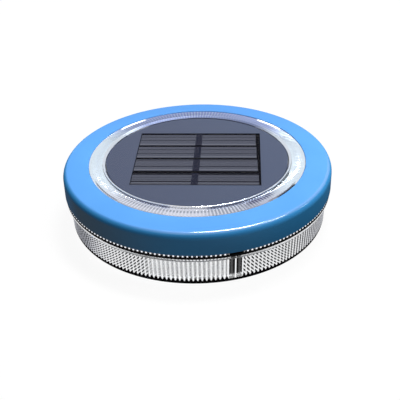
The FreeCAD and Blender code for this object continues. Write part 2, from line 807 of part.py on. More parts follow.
def make_base_plate():
    """Disc with a spigot into the bowl, the battery well on its island, posts and screw bores."""
    spigot_inner = f"{SPIGOT_RADIUS} - spigot_wall"
    spigot_top = f"{BASE_TOP} + spigot_height"
    body = turned("base_plate", [
        ("0", "base_level"),
        ("base_radius", "base_level"),
        ("base_radius", BASE_TOP),
        (SPIGOT_RADIUS, BASE_TOP),
        (SPIGOT_RADIUS, spigot_top),
        (spigot_inner, spigot_top),
        (spigot_inner, BASE_TOP),
        ("0", BASE_TOP),
    ])
    round_edges(body, "base_round", "base_round", rim("base_radius", "base_level"))
    pad(body, "island",
        lambda s: draw_rounded(s, "island_length", "island_width", "island_corner"),
        "base_level", "island_height")
    pad(body, "posts", circles("post_radius", POSTS), "base_level", "post_height")
    well_length, well_width = f"{BATTERY_ROOM} + 2 * well_wall", f"{WELL_WIDTH} + 2 * well_wall"
    pad(body, "well", lambda s: draw_rectangle(s, well_length, well_width),
        "base_level", "well_height")
    pad(body, "door_posts", circles("door_post_radius", DOOR_SCREWS),
        "base_level", "door_post_height")
    pad(body, "holder_posts", circles("holder_ear_radius", HOLDER_SCREWS),
        "base_level", f"{WEB_BASE} - base_level")

    recess = ("door_length + 2 * door_fit_gap", "door_width + 2 * door_fit_gap",
              "door_corner + door_fit_gap")
    pocket(body, "door_recess", lambda s: draw_rounded(s, *recess),
           "base_level", f"{SEAT} - base_level")
    pocket(body, "battery_room", lambda s: draw_rectangle(s, BATTERY_ROOM, WELL_WIDTH),
           "base_level", f"{WELL_ROOF} - base_level")
    pocket(body, "head_bores", circles("head_bore_radius", POSTS), "base_level", "head_bore_depth")
    pocket(body, "shank_bores", circles("screw_radius + shank_clearance", POSTS),
           "base_level", "post_height")
    pocket(body, "door_pilots", circles("door_screw_radius + thread_clearance", DOOR_SCREWS),
           "base_level", "door_head + door_screw_length + tip_room / 2")
    pocket(body, "button_bore",
           circles("button_radius + button_clearance", [("0", "button_y")]),
           "base_level", "base_plate")
    ear_pilot_base = f"{WEB_TOP} - small_screw_length - tip_room / 4"
    pocket(body, "holder_pilots", circles("small_screw_radius + thread_clearance", HOLDER_SCREWS),
           ear_pilot_base, f"{WEB_BASE} - ({ear_pilot_base})")

    def draw_tab_slots(sketch):
        for side in ("", "-"):
            draw_rectangle(sketch, "contact + 2 * slot_gap", "tab_width + 2 * slot_gap",
                           f"{side}({BATTERY_ROOM} / 2 - contact / 2)")

    pocket(body, "tab_slots", draw_tab_slots, WELL_ROOF, "well_wall")


def make_battery_door():
    """Flush plate with four countersunk screws, a gasket, and two ribs that carry the cell."""
    door = new_body("battery_door")
    pad(door, "door_plate", lambda s: draw_rounded(s, "door_length", "door_width", "door_corner"),
        "base_level", "door")

    def draw_cradles(sketch):
        for side in ("", "-"):
            draw_rectangle(sketch, "cradle", "cradle_width", f"{side}cradle_x")

    cradle_top = f"{BATTERY_AXIS} - {BATTERY_BORE} - cradle_gap"
    pad(door, "cradles", draw_cradles, "base_level", f"{cradle_top} - base_level")
    pocket(door, "door_head_bores", circles("door_head_radius + door_bore_clearance", DOOR_SCREWS),
           "base_level", "door_head")
    pocket(door, "door_shank_bores",
           circles("door_screw_radius + door_bore_clearance", DOOR_SCREWS), "base_level", "door")
    screws("door_screws", DOOR_SCREWS, "base_level + door_head", True,
           "door_head_radius", "door_head", "door_screw_radius", "door_screw_length")

    gasket = new_body("door_gasket")
    outer = ("door_gasket_length", "door_gasket_width", "door_gasket_corner")
    window = ("door_gasket_length - 2 * door_gasket_band",
              "door_gasket_width - 2 * door_gasket_band",
              "door_gasket_corner - door_gasket_band")

    def draw_band(sketch):
        draw_rounded(sketch, *outer)
        draw_rounded(sketch, *window)

    pad(gasket, "door_gasket_band", draw_band, DOOR_TOP, "door_gasket")


def along_battery(body, start):
    """Lays a body that was drawn along Z onto the battery's axis, from start along X."""
    body.Placement = Placement(Vector(), Rotation(Vector(0, 1, 0), 90))
    body.setExpression("Placement.Base.x", bound(start))
    body.setExpression("Placement.Base.z", bound(BATTERY_AXIS))


def make_battery():
    """The cell in its sleeve, a coil spring at its flat end, and a contact plate at each end."""
    can_start = f"(contact + spring_room - {BATTERY_ROOM} / 2)"
    cell = new_body("battery_cell")
    disc = [("0", "0")]
    pad(cell, "cell_can", circles("battery_radius", disc), "0", "battery_can")
    pad(cell, "cell_nub", circles("nub_radius", disc), "0", "battery_can + nub")
    along_battery(cell, can_start)
    sleeve = washer("battery_sleeve", "battery_radius", BATTERY_BORE, "0", "battery_can")
    along_battery(sleeve, can_start)

    coil = helix_solid(value("spring_radius"), value("spring_wire"), value("spring_room"),
                       value("spring_turns"))
    coil.rotate(Vector(), Vector(0, 1, 0), 90)
    coil.translate(place(f"contact - {BATTERY_ROOM} / 2", "0", BATTERY_AXIS))
    shaped("battery_spring", [coil])

    for label, side in (("spring_contact", "-"), ("nub_contact", "")):
        x = f"{side}({BATTERY_ROOM} / 2 - contact / 2)"
        plate = new_body(label)
        plate_base = f"{BATTERY_AXIS} - contact_height / 2"
        pad(plate, label + "_plate",
            lambda s: draw_rectangle(s, "contact", "contact_width", x), plate_base, "contact_height")
        pad(plate, label + "_tab",
            lambda s: draw_rectangle(s, "contact", "tab_width", x),
            plate_base, f"{TAB_TOP} - ({plate_base})")

    tab_face = f"{BATTERY_ROOM} / 2 - contact"
    wire_level = f"{TAB_TOP} - 1.5 * wire_radius"
    for label, side in (("battery_wire_black", "-"), ("battery_wire_red", "")):
        inboard = f"{side}({tab_face} - wire_run)"
        shaped(label, [wire_solid([
            place(f"{side}({tab_face})", "0", wire_level),
            place(inboard, "0", wire_level),
            place(inboard, "0", f"{BOARD_TOP} + wire_tail"),
        ])])


def make_ballast():
    """Steel ring that lies inside the spigot."""
    washer("ballast_ring", f"{ISLAND_REACH} + ballast_island_gap",
           f"{SPIGOT_RADIUS} - spigot_wall - ballast_clearance", BASE_TOP, "ballast")


def make_housing_screws():
    """Screws from below through the posts into the cover's bosses, and plugs over their heads."""
    screws("housing_screws", POSTS, HEAD_SEAT, True,
           "screw_head_radius", "screw_head", "screw_radius", "screw_length")
    plugs = new_body("screw_plugs")
    pad(plugs, "plugs", circles("head_bore_radius - plug_clearance", POSTS), "base_level", "plug")


# ---- Reflector and circuit board

def make_reflector():
    """Mirrored cone on the bowl's floor, with a flat ring on top that lies under the board."""
    top = f"({BOARD_BASE} - reflector_gap)"
    turned("reflector", [
        (f"{REFLECTOR_FOOT_RADIUS} - reflector_skin", FLOOR_TOP),
        (REFLECTOR_FOOT_RADIUS, FLOOR_TOP),
        ("reflector_top_radius", top),
        ("reflector_hole_radius", top),
        ("reflector_hole_radius", f"{top} - reflector_skin"),
        ("reflector_top_radius - reflector_skin", f"{top} - reflector_skin"),
    ])


def lead_places():
    """The two leads of each lamp, side by side along the lamp ring."""
    places = []
    for angle in LED_ANGLES:
        for side in ("", "-"):
            places.append((
                f"led_ring_radius * cos({angle}) - ({side}lead_pitch / 2) * sin({angle})",
                f"led_ring_radius * sin({angle}) + ({side}lead_pitch / 2) * cos({angle})",
            ))
    return places


def wire_holes():
    """Where the wires of the battery and of the switch pass through the board."""
    inboard = f"({BATTERY_ROOM} / 2 - contact - wire_run)"
    pins = "(pin_pitch / 2 + wire_run)"
    return [(inboard, "0"), (f"-{inboard}", "0"), (pins, "button_y"), (f"-{pins}", "button_y")]


def make_circuit_board():
    board = new_body("circuit_board")
    pad(board, "board_disc", circles("board_radius", [("0", "0")]), BOARD_BASE, "board")
    pocket(board, "boss_holes", circles("boss_radius + boss_clearance", POSTS),
           BOARD_BASE, "board")
    pocket(board, "board_screw_holes",
           circles("small_screw_radius + small_bore_clearance", BOARD_SCREWS),
           BOARD_BASE, "board")
    pocket(board, "lead_holes", circles("lead_side * 0.71 + lead_hole_clearance", lead_places()),
           BOARD_BASE, "board")
    pocket(board, "wire_holes", circles("wire_radius + wire_hole_clearance", wire_holes()),
           BOARD_BASE, "board")
    screws("board_screws", BOARD_SCREWS, BOARD_BASE, True,
           "small_head_radius", "small_head", "small_screw_radius", "small_screw_length")


def make_lamps():
    """Domed lamps that hang from the board and shine down on the reflector."""
    lamps = new_body("led_lamps")
    lamp_top = f"({BOARD_BASE} - led_stand)"
    pad(lamps, "lamp_bodies", circles("led_radius", LEDS), f"{lamp_top} - led_body", "led_body")
    lamp_foot = value(f"{lamp_top} - led_body")
    round_edges(lamps, "lamp_domes", "led_radius * 0.96",
                lambda edge: isinstance(edge.Curve, Part.Circle)
                and math.isclose(edge.Curve.Center.z, lamp_foot, abs_tol=1e-4))
    pad(lamps, "lamp_rims", circles("led_radius + led_rim", LEDS),
        f"{lamp_top} - led_rim_height", "led_rim_height")

    leads = new_body("led_leads")

    def draw_leads(sketch):
        for x, y in lead_places():
            draw_rectangle(sketch, "lead_side", "lead_side", x, y)

    pad(leads, "leads", draw_leads, lamp_top, "led_stand + board + lead_tail")


def make_board_parts():
    """What stands on the board: driver chip, coil, capacitor and two resistors."""
    block("driver_chip", "chip_length", "chip_width", "chip_height", "chip_x", "chip_y", BOARD_TOP)
    coil = new_body("storage_inductor")
    coil_place = [("inductor_x", "inductor_y")]
    pad(coil, "inductor_core", circles("inductor_waist", coil_place), BOARD_TOP, "inductor_height")
    pad(coil, "inductor_foot", circles("inductor_radius", coil_place), BOARD_TOP, "inductor_flange")
    pad(coil, "inductor_head", circles("inductor_radius", coil_place),
        f"{BOARD_TOP} + inductor_height - inductor_flange", "inductor_flange")
    can = new_body("smoothing_capacitor")
    pad(can, "capacitor_can", circles("capacitor_radius", [("capacitor_x", "capacitor_y")]),
        BOARD_TOP, "capacitor_height")
    round_edges(can, "capacitor_round", "capacitor_round",
                rim("capacitor_radius", f"{BOARD_TOP} + capacitor_height"))
    resistors = new_body("sense_resistors")

    def draw_resistors(sketch):
        for i in range(RESISTOR_COUNT):
            draw_rectangle(sketch, "resistor_length", "resistor_width",
                           "resistor_x", f"resistor_y + {i} * resistor_pitch")

    pad(resistors, "resistors", draw_resistors, BOARD_TOP, "resistor_height")


# ---- Power button and switch

def make_button():
    """Push button with a collar, the lip seal it slides in, and the holder over both."""
    at_button = [("0", "button_y")]
    face = "(base_level + button_recess)"
    button = new_body("power_button")
    pad(button, "button_barrel", circles("button_radius", at_button), face, f"{COLLAR_TOP} - {face}")
    round_edges(button, "button_round", "button_round", rim("button_radius", face))
    pad(button, "button_collar", circles("collar_radius", at_button), COLLAR_BASE, "collar")

    seal = new_body("button_seal")
    pad(seal, "seal_disc", circles("seal_radius", at_button), BASE_TOP, "seal")
    pocket(seal, "seal_lip", circles("button_radius + seal_clearance", at_button),
           BASE_TOP, "seal")

    holder = new_body("switch_holder")
    shell = "holder_bore_radius + holder_wall"
    pad(holder, "holder_shell", circles(shell, at_button), BASE_TOP, f"{WEB_TOP} - {BASE_TOP}")
    pad(holder, "holder_arms",
        lambda s: draw_rectangle(s, "2 * holder_ear_x", "2 * holder_ear_radius", "0", "button_y"),
        WEB_BASE, "holder_web")
    pad(holder, "holder_ears", circles("holder_ear_radius", HOLDER_SCREWS), WEB_BASE, "holder_web")
    socket_side = "(switch_side + 2 * switch_seat + 2 * socket_wall)"
    pad(holder, "switch_socket",
        lambda s: draw_rectangle(s, socket_side, socket_side, "0", "button_y"),
        WEB_BASE, "holder_web + socket_height")
    pocket(holder, "button_room", circles("holder_bore_radius", at_button),
           BASE_TOP, f"{WEB_BASE} - {BASE_TOP}")
    opening = "(switch_side + 2 * switch_seat)"
    pocket(holder, "switch_room", lambda s: draw_rectangle(s, opening, opening, "0", "button_y"),
           WEB_TOP, "socket_height")
    pocket(holder, "plunger_hole",
           circles("plunger_radius + plunger_clearance", at_button), WEB_BASE, "holder_web")
    pocket(holder, "ear_holes",
           circles("small_screw_radius + small_bore_clearance", HOLDER_SCREWS),
           WEB_BASE, "holder_web")
    screws("holder_screws", HOLDER_SCREWS, WEB_TOP, False,
           "small_head_radius", "small_head", "small_screw_radius", "small_screw_length")


def make_switch():
    """Latching push switch: bored case, plunger with its return spring, and two pins."""
    at_button = [("0", "button_y")]
    case = new_body("switch_case")
    pad(case, "case_block",
        lambda s: draw_rectangle(s, "switch_side", "switch_side", "0", "button_y"),
        WEB_TOP, "switch_height")
    pocket(case, "case_bore", circles("plunger_radius + plunger_clearance", at_button),
           WEB_TOP, "switch_height - switch_roof")
    plunger = new_body("switch_plunger")
    pad(plunger, "plunger_stem", circles("plunger_radius", at_button),
        PLUNGER_BASE, "plunger_length")

    room = value(f"{SWITCH_TOP} - switch_roof - {PLUNGER_TOP}")
    coil = helix_solid(value("switch_spring_radius"), value("switch_spring_wire"), room,
                       value("switch_spring_turns"))
    coil.translate(place("0", "button_y", PLUNGER_TOP))
    shaped("switch_spring", [coil])

    pins = new_body("switch_pins")
    pin_places = [("pin_pitch / 2", "button_y"), ("-pin_pitch / 2", "button_y")]

    def draw_pins(sketch):
        for x, y in pin_places:
            draw_rectangle(sketch, "pin_side", "pin_side", x, y)

    pad(pins, "pins", draw_pins, SWITCH_TOP, "pin_rise")

    level = f"({SWITCH_TOP} + pin_rise + wire_bend + wire_radius)"
    leads = []
    for side in ("", "-"):
        near = f"{side}(pin_pitch / 2)"
        far = f"{side}(pin_pitch / 2 + wire_run)"
        leads.append(wire_solid([
            place(near, "button_y", f"{SWITCH_TOP} + pin_rise"),
            place(near, "button_y", level),
            place(far, "button_y", level),
            place(far, "button_y", f"{BOARD_TOP} + wire_tail"),
        ]))
    shaped("switch_wires", leads)


make_float_ring()
make_top_cover()
make_panel()
make_panel_wires()
make_lens_bowl()
make_seals()
make_lock_clips()
make_base_plate()
make_battery_door()
make_battery()
make_ballast()
make_housing_screws()
make_reflector()
make_circuit_board()
make_lamps()
make_board_parts()
make_button()
make_switch()
doc.recompute()

for item in doc.Objects:
    if "Invalid" in item.State or "Error" in item.State:
        raise RuntimeError(f"{item.Label} failed: {item.State}")

PIECE_TYPES = ("PartDesign::Body", "Part::Box", "Part::Feature")
pieces = [item for item in doc.Objects if item.TypeId in PIECE_TYPES]
for piece in pieces:
    if piece.Shape.isNull() or not piece.Shape.isValid():
        raise RuntimeError(f"{piece.Label} has no valid shape")

os.makedirs("parts", exist_ok=True)
for piece in pieces:
    piece.Shape.exportStep(f"parts/{piece.Label}.step")
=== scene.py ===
import math

import bmesh
import bpy
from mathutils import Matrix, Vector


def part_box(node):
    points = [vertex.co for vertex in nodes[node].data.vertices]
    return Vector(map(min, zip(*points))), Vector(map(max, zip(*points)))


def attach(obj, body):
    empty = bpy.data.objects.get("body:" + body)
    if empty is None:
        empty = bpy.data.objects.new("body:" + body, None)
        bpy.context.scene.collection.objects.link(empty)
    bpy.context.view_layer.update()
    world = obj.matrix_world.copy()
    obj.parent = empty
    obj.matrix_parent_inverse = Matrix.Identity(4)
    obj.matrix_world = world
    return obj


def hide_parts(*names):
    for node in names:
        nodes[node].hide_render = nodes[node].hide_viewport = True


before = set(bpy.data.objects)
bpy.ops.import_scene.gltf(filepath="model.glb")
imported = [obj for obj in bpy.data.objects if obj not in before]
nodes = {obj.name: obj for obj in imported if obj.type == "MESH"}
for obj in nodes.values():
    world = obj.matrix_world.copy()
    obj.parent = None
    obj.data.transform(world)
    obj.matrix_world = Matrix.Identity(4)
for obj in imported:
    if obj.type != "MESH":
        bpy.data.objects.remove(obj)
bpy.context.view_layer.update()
MM = 0.001


# The table it stands on: a plain white floor with the camera looking down at the light's front
# edge, one soft box overhead and behind, and two weak strips on the right. The floor takes a
# faint shadow, and lets the light be seen from below.
CAMERA_PLACE = (0.02654, -0.38923, 0.24765)
CAMERA_TURN = (58.12, 1.449, 2.854)
CAMERA_LENS = 70.33
CAMERA_NEAR = 0.01
FLOOR_HALF = 4.0
FLOOR_SHADOW = 0.07
FLOOR_DIM = (0.12, 0.12, 0.125, 1)
WORLD_FILL = 0.13
WHITE = (1, 1, 1, 1)
LAMPS = {
    # name: place, width and height, watts
    "overhead_soft_box": ((0.15, 0.39, 1.13), (0.44, 0.20), 13.2),
    "edge_strip_box": ((0.55, -0.02, 0.98), (0.20, 0.60), 3.6),
    "right_strip_box": ((1.00, 0.15, 0.34), (0.12, 0.50), 0.45),
}


class Tone:
    """A number, colour or direction inside a finish; adding two of them adds the node for it."""

    def __init__(self, tree, socket=None):
        self.tree = tree
        self.socket = socket

    def node(self, kind, settings=(), inputs=(), out=0):
        made = self.tree.nodes.new("ShaderNode" + kind)
        for name, setting in dict(settings).items():
            setattr(made, name, setting)
        for name, given in dict(inputs).items():
            if isinstance(given, Tone):
                self.tree.links.new(given.socket, made.inputs[name])
            else:
                made.inputs[name].default_value = given
        return Tone(self.tree, made.outputs[out])

    def math(self, operation, first, second=0.0):
        return self.node("Math", {"operation": operation}, {0: first, 1: second})

    def __add__(self, other):
        return self.math("ADD", self, other)

    def __sub__(self, other):
        return self.math("SUBTRACT", self, other)

    def __rsub__(self, other):
        return self.math("SUBTRACT", other, self)

    def __mul__(self, other):
        return self.math("MULTIPLY", self, other)

    def __truediv__(self, other):
        return self.math("DIVIDE", self, other)

    __radd__ = __add__
    __rmul__ = __mul__

    def __abs__(self):
        return self.math("ABSOLUTE", self)

    def __or__(self, other):
        """The larger of the two, which lays one marking over another."""
        return self.math("MAXIMUM", self, other)

    def axis(self, name):
        return self.node("SeparateXYZ", (), {0: self}, name)

    def reach(self):
        """Distance from the upright axis, in millimetres."""
        flat = self.node("VectorMath", {"operation": "MULTIPLY"},
                         {0: self, 1: (1 / MM, 1 / MM, 0)})
        return flat.node("VectorMath", {"operation": "LENGTH"}, {0: flat}, "Value")

    def wave(self):
        """0 at every whole number and 1 half way between two."""
        return self.math("PINGPONG", self, 0.5) * 2

    def comb(self, count, start=0.0):
        """Once round the upright axis, count times from 0 up to 1 and back, from start degrees."""
        turn = self.math("ARCTAN2", self.axis("Y"), self.axis("X")) / (2 * math.pi)
        return ((turn - start / 360) * count).wave()

    def ramp(self, low, high, start=0.0, end=1.0):
        """Runs smoothly from start to end as this goes from low to high."""
        return self.node("MapRange", {"interpolation_type": "SMOOTHSTEP"},
                         {"Value": self, "From Min": low, "From Max": high,
                          "To Min": start, "To Max": end})

    def fade(self, low, high, end=0.0):
        return self.ramp(low, high, 1.0, end)

    def within(self, low, full, fading, gone):
        """Rises from low to full, stays at 1, and falls again from fading to gone."""
        return self.ramp(low, full) * self.fade(fading, gone)

    def shade(self, first, second):
        """The first colour at 0 and the second at 1."""
        blended = {6: tint(first), 7: tint(second), 0: self}
        return self.node("Mix", {"data_type": "RGBA"}, blended, 2)

    def noise(self, scale, detail=3.0, stretch=(1, 1, 1)):
        spread = self.node("VectorMath", {"operation": "MULTIPLY"}, {0: self, 1: stretch})
        return self.node("TexNoise", (), {"Vector": spread, "Scale": scale, "Detail": detail})

    def bump(self, strength, depth):
        return self.node("Bump", (), {"Height": self, "Strength": strength, "Distance": depth})


def ray(tree, kind):
    """1 where the light path is of this kind."""
    return Tone(tree).node("LightPath", (), (), "Is " + kind + " Ray")


def seen_white(tree, dim, shadow_share):
    """White to the eye, to gloss and to clear plastic, and a plain dim surface to soft light."""
    mirrored = ray(tree, "Glossy") + ray(tree, "Transmission")
    white = Tone(tree).node("Emission", (), {"Color": WHITE, "Strength": 1.0})
    lit = Tone(tree).node("BsdfDiffuse", (), {"Color": WHITE})
    to_eye = Tone(tree).node("MixShader", (), {0: 1.0 - shadow_share, 1: lit, 2: white})
    soft = Tone(tree).node("MixShader", (), {0: ray(tree, "Camera"), 1: dim, 2: to_eye})
    return Tone(tree).node("MixShader", (), {0: mirrored, 1: soft, 2: white})


bpy.ops.object.select_all(action="DESELECT")
bpy.ops.mesh.primitive_plane_add(size=2 * FLOOR_HALF, location=(0, 0, 0))
floor = bpy.context.object
floor.name = "floor"
floor_paint = bpy.data.materials.new("floor_paint")
floor_paint.use_nodes = True
paint_tree = floor_paint.node_tree
open_below = Tone(paint_tree).node("MixShader", (), {
    0: Tone(paint_tree).node("NewGeometry", (), (), "Backfacing"),
    1: seen_white(paint_tree, Tone(paint_tree).node("BsdfDiffuse", (), {"Color": FLOOR_DIM}),
                  FLOOR_SHADOW),
    2: Tone(paint_tree).node("BsdfTransparent"),
})
paint_tree.links.new(open_below.socket, paint_tree.nodes["Material Output"].inputs["Surface"])
floor.data.materials.append(floor_paint)

world = bpy.data.worlds.new("studio")
bpy.context.scene.world = world
world.use_nodes = True
sky = world.node_tree
sky_seen = ray(sky, "Camera") + ray(sky, "Glossy") + ray(sky, "Transmission")
sky_strength = sky_seen.ramp(0.0, 1.0, WORLD_FILL, 1.0)
sky.links.new(sky_strength.socket, sky.nodes["Background"].inputs["Strength"])
sky.nodes["Background"].inputs["Color"].default_value = WHITE

for lamp_name, (lamp_place, lamp_sides, watts) in LAMPS.items():
    lamp = bpy.data.objects.new(lamp_name, bpy.data.lights.new(lamp_name, "AREA"))
    bpy.context.scene.collection.objects.link(lamp)
    lamp.data.shape = "RECTANGLE"
    lamp.data.size, lamp.data.size_y = lamp_sides
    lamp.data.energy = watts
    lamp.location = lamp_place
    lamp.rotation_euler = (-lamp.location).to_track_quat("-Z", "Y").to_euler()

camera = bpy.data.objects.new("camera", bpy.data.cameras.new("camera"))
bpy.context.scene.collection.objects.link(camera)
camera.location = CAMERA_PLACE
camera.rotation_euler = [math.radians(turn) for turn in CAMERA_TURN]
camera.data.lens = CAMERA_LENS
camera.data.clip_start = CAMERA_NEAR
bpy.context.scene.camera = camera
bpy.context.scene.view_settings.view_transform = "Standard"


# The base plate: one disc of dark ABS with a sparked, matt face. It carries the battery well, the
# switch and the screw bores, and its spigot stands in the hole of the bowl.
FLAT_BLACK = (0.005, 0.005, 0.007, 1.0)


def tint(colour):
    return colour if isinstance(colour, Tone) else (*colour, 1.0)


def finish(name, fixed, painted):
    """A material: sockets that are the same all over, and those that painted(place) varies.

    One more key lays a black without any gloss over the rest where it is 1; it carries painted
    shade and painted dark for dark parts seen through clear plastic.
    """
    made = bpy.data.materials.new(name)
    made.use_nodes = True
    tree = made.node_tree
    shader = next(n for n in tree.nodes if n.type == "BSDF_PRINCIPLED")
    output = next(n for n in tree.nodes if n.type == "OUTPUT_MATERIAL")
    place = Tone(tree).node("TexCoord", (), (), "Object")
    for socket, given in fixed.items():
        shader.inputs[socket].default_value = given
    varied = painted(place)
    painted_dark = varied.pop("Dull", None)
    for socket, given in varied.items():
        tree.links.new(given.socket, shader.inputs[socket])
    if painted_dark:
        black = Tone(tree).node("BsdfDiffuse", (), {"Color": FLAT_BLACK})
        shown = {0: painted_dark, 1: Tone(tree, shader.outputs[0]), 2: black}
        tree.links.new(Tone(tree).node("MixShader", (), shown).socket, output.inputs["Surface"])
    return made


def paint(names, material):
    for name in names:
        nodes[name].data.materials.clear()
        nodes[name].data.materials.append(material)


def moulded(name, base, deep, rough=0.45, pore=900, relief=0.12):
    """Injection-moulded plastic: uneven flow in the colour, and the tool's grain in the gloss."""
    def surface(place):
        grain = place.noise(pore, 4)
        return {
            "Base Color": place.noise(80, 2).ramp(0.3, 0.7).shade(base, deep),
            "Roughness": grain.ramp(0.3, 0.7, rough - 0.06, rough + 0.08),
            "Normal": grain.bump(relief, 0.06 * MM),
        }
    return finish(name, {}, surface)


paint(["base_plate"], moulded("sparked_dark_abs", (0.03, 0.032, 0.036), (0.042, 0.045, 0.05),
                              0.5, 1400, 0.3))


# The silicone rubber parts: the seal under the bowl's floor, the door's gasket, the main gasket
# between bowl and cover, and the ring the light stands on. Black, slightly waxy, moulded flat.
def black_silicone(place):
    bloom = place.noise(60, 3)
    skin = place.noise(1100, 3)
    return {
        "Base Color": bloom.ramp(0.35, 0.75).shade((0.004, 0.004, 0.005), (0.012, 0.012, 0.014)),
        "Roughness": skin.ramp(0.3, 0.7, 0.5, 0.68),
        "Normal": skin.bump(0.1, 0.04 * MM),
    }


paint(["base_seal", "door_gasket", "main_gasket", "foot_ring"],
      finish("black_silicone_rubber", {"Specular IOR Level": 0.05}, black_silicone))


# The battery: a nickel-plated steel can in a shrunk film sleeve, between a coiled spring and
# pressed contacts of plated brass.
def metal(name, base, deep, rough=0.3, drawn=(1, 1, 1)):
    """Plated or bare metal, its fine scratches drawn out along one way."""
    def surface(place):
        grain = place.noise(1400, 4, drawn)
        return {
            "Base Color": grain.ramp(0.3, 0.7).shade(base, deep),
            "Roughness": grain.ramp(0.3, 0.7, rough - 0.06, rough + 0.1),
            "Normal": grain.bump(0.08, 0.03 * MM),
        }
    return finish(name, {"Metallic": 1.0}, surface)


def sleeve_film(place):
    crease = place.noise(240, 3, (0.2, 3, 3))
    dye = place.noise(50, 2)
    return {
        "Base Color": dye.ramp(0.3, 0.7).shade((0.03, 0.3, 0.1), (0.022, 0.24, 0.08)),
        "Roughness": crease.ramp(0.3, 0.7, 0.18, 0.3),
        "Normal": crease.bump(0.15, 0.05 * MM),
    }


nickel = metal("nickel_plate", (0.72, 0.7, 0.66), (0.62, 0.6, 0.56), 0.25)
brass = metal("plated_brass", (0.72, 0.6, 0.34), (0.62, 0.5, 0.28), 0.3, (0.3, 3, 3))
paint(["battery_cell"], metal("drawn_battery_can", (0.74, 0.73, 0.71), (0.64, 0.63, 0.61), 0.28,
                              (0.2, 3, 3)))
paint(["battery_sleeve"], finish("shrunk_cell_film", {}, sleeve_film))
paint(["battery_spring"], nickel)
paint(["spring_contact", "nub_contact"], brass)


# The battery door: dark ABS like the plate but polished a little finer. Stainless screws hold it,
# the housing, the board and the switch's holder. Grey rubber plugs close the four bores in the
# plate, and a ring of zinc-plated steel is the ballast.
paint(["battery_door"], moulded("fine_dark_abs", (0.034, 0.036, 0.041), (0.046, 0.049, 0.055),
                                0.38, 1800, 0.16))
paint(["screw_plugs"], moulded("grey_silicone_rubber", (0.17, 0.18, 0.19), (0.22, 0.23, 0.24),
                               0.6, 1000))
stainless = metal("stainless_steel", (0.6, 0.6, 0.61), (0.5, 0.5, 0.52))
paint(["door_screws", "housing_screws", "board_screws", "holder_screws"], stainless)
paint(["ballast_ring"], metal("zinc_plated_steel", (0.55, 0.57, 0.6), (0.43, 0.45, 0.49), 0.4,
                              (3, 3, 0.4)))


# The switch: a blue push button in a grey rubber seal, a white plunger and its return spring, and
# a small black switch on tinned pins in a dark holder.
paint(["power_button"], moulded("blue_button_plastic", (0.09, 0.35, 0.8), (0.08, 0.31, 0.72),
                                0.3, 1500))
paint(["button_seal"], moulded("grey_button_rubber", (0.15, 0.16, 0.17), (0.2, 0.21, 0.22),
                               0.62, 1200))
paint(["switch_plunger"], moulded("white_acetal", (0.86, 0.87, 0.88), (0.8, 0.81, 0.83), 0.35))
paint(["switch_spring"], metal("spring_steel", (0.66, 0.66, 0.67), (0.55, 0.55, 0.57), 0.22))
paint(["switch_holder"], moulded("dark_holder_abs", (0.03, 0.032, 0.036), (0.04, 0.043, 0.048),
                                 0.42))
paint(["switch_case"], moulded("black_switch_nylon", (0.012, 0.012, 0.014), (0.02, 0.02, 0.022),
                               0.5))
paint(["switch_pins"], metal("tinned_pins", (0.7, 0.7, 0.71), (0.6, 0.6, 0.62), 0.35))


# The lens bowl: clear injection-moulded polycarbonate, fluted outside and ribbed on its floor. Its
# foot carries a painted dark toothed line for the black rubber seen through it. Three plain
# windows in the flutes stand over the lock clips that hold it to the cover; each is painted dark
# for the clip seen through it, but for a slit.
BOWL_PARTS = 1200
RIBS = 200
PER_RIB = BOWL_PARTS // RIBS
BOWL_WALL_TOP = 73.9
BOWL_WALL_FOOT = 73.1
BOWL_FOOT = 0.7
BOWL_FLANGE_BASE = 15.5
BOWL_FLANGE_TOP = 17.1
BOWL_FLANGE_RADIUS = 75.4
BOWL_FLANGE_ROUND = 0.2
FLUTE_DEPTH = 0.5
# how many corners from a valley, and what share of the flute's depth the corner goes in
FLUTE_SHAPE = ((0, 1.0), (1, 0.26), (2, 0.06))
FLOOR_TOP = 2.5
FLOOR_INNER = 53.0
FLOOR_OUTER = 70.4
FLOOR_RIB = 0.5
LEDGE_RADIUS = 46.0
LEDGE_BASE = 2.6
LEDGE_TOP = 4.4
HUB_INNER = 50.3
HUB_OUTER = 52.1
CLIP_START = -72.0
CLIP_COUNT = 3
# how far to either side of a clip each marking of its window reaches, in degrees
WINDOW_HALF = 2.8
WINDOW_EDGE = 0.24
WINDOW_BORDER = 3.3
CLIP_DARK_HALF = 2.65
CLIP_DARK_MIDDLE = 1.6
SLIT_HALF = 0.3
FOOT_LINE = 1.85
FOOT_TOOTH = 1.8
DOT_CENTRE = 3.0
DOTS_PER_MM = 0.235
DOTS_CLOSING = 0.0173
SIDE_SHADE = (0.36, 0.38, 0.46)
PAINTED_BLACK = (0.01, 0.01, 0.014)
CLEAR = {"Transmission Weight": 1.0, "IOR": 1.5}


def lets_lamps_through(material, colour):
    """Clear plastic that keeps its own look but does not shade what is behind it."""
    tree = material.node_tree
    output = next(n for n in tree.nodes if n.type == "OUTPUT_MATERIAL")
    open_air = Tone(tree).node("BsdfTransparent", (), {"Color": tint(colour)})
    plastic = Tone(tree, output.inputs["Surface"].links[0].from_socket)
    either = Tone(tree).node("MixShader", (), {0: ray(tree, "Shadow"), 1: plastic, 2: open_air})
    tree.links.new(either.socket, output.inputs["Surface"])
    return material


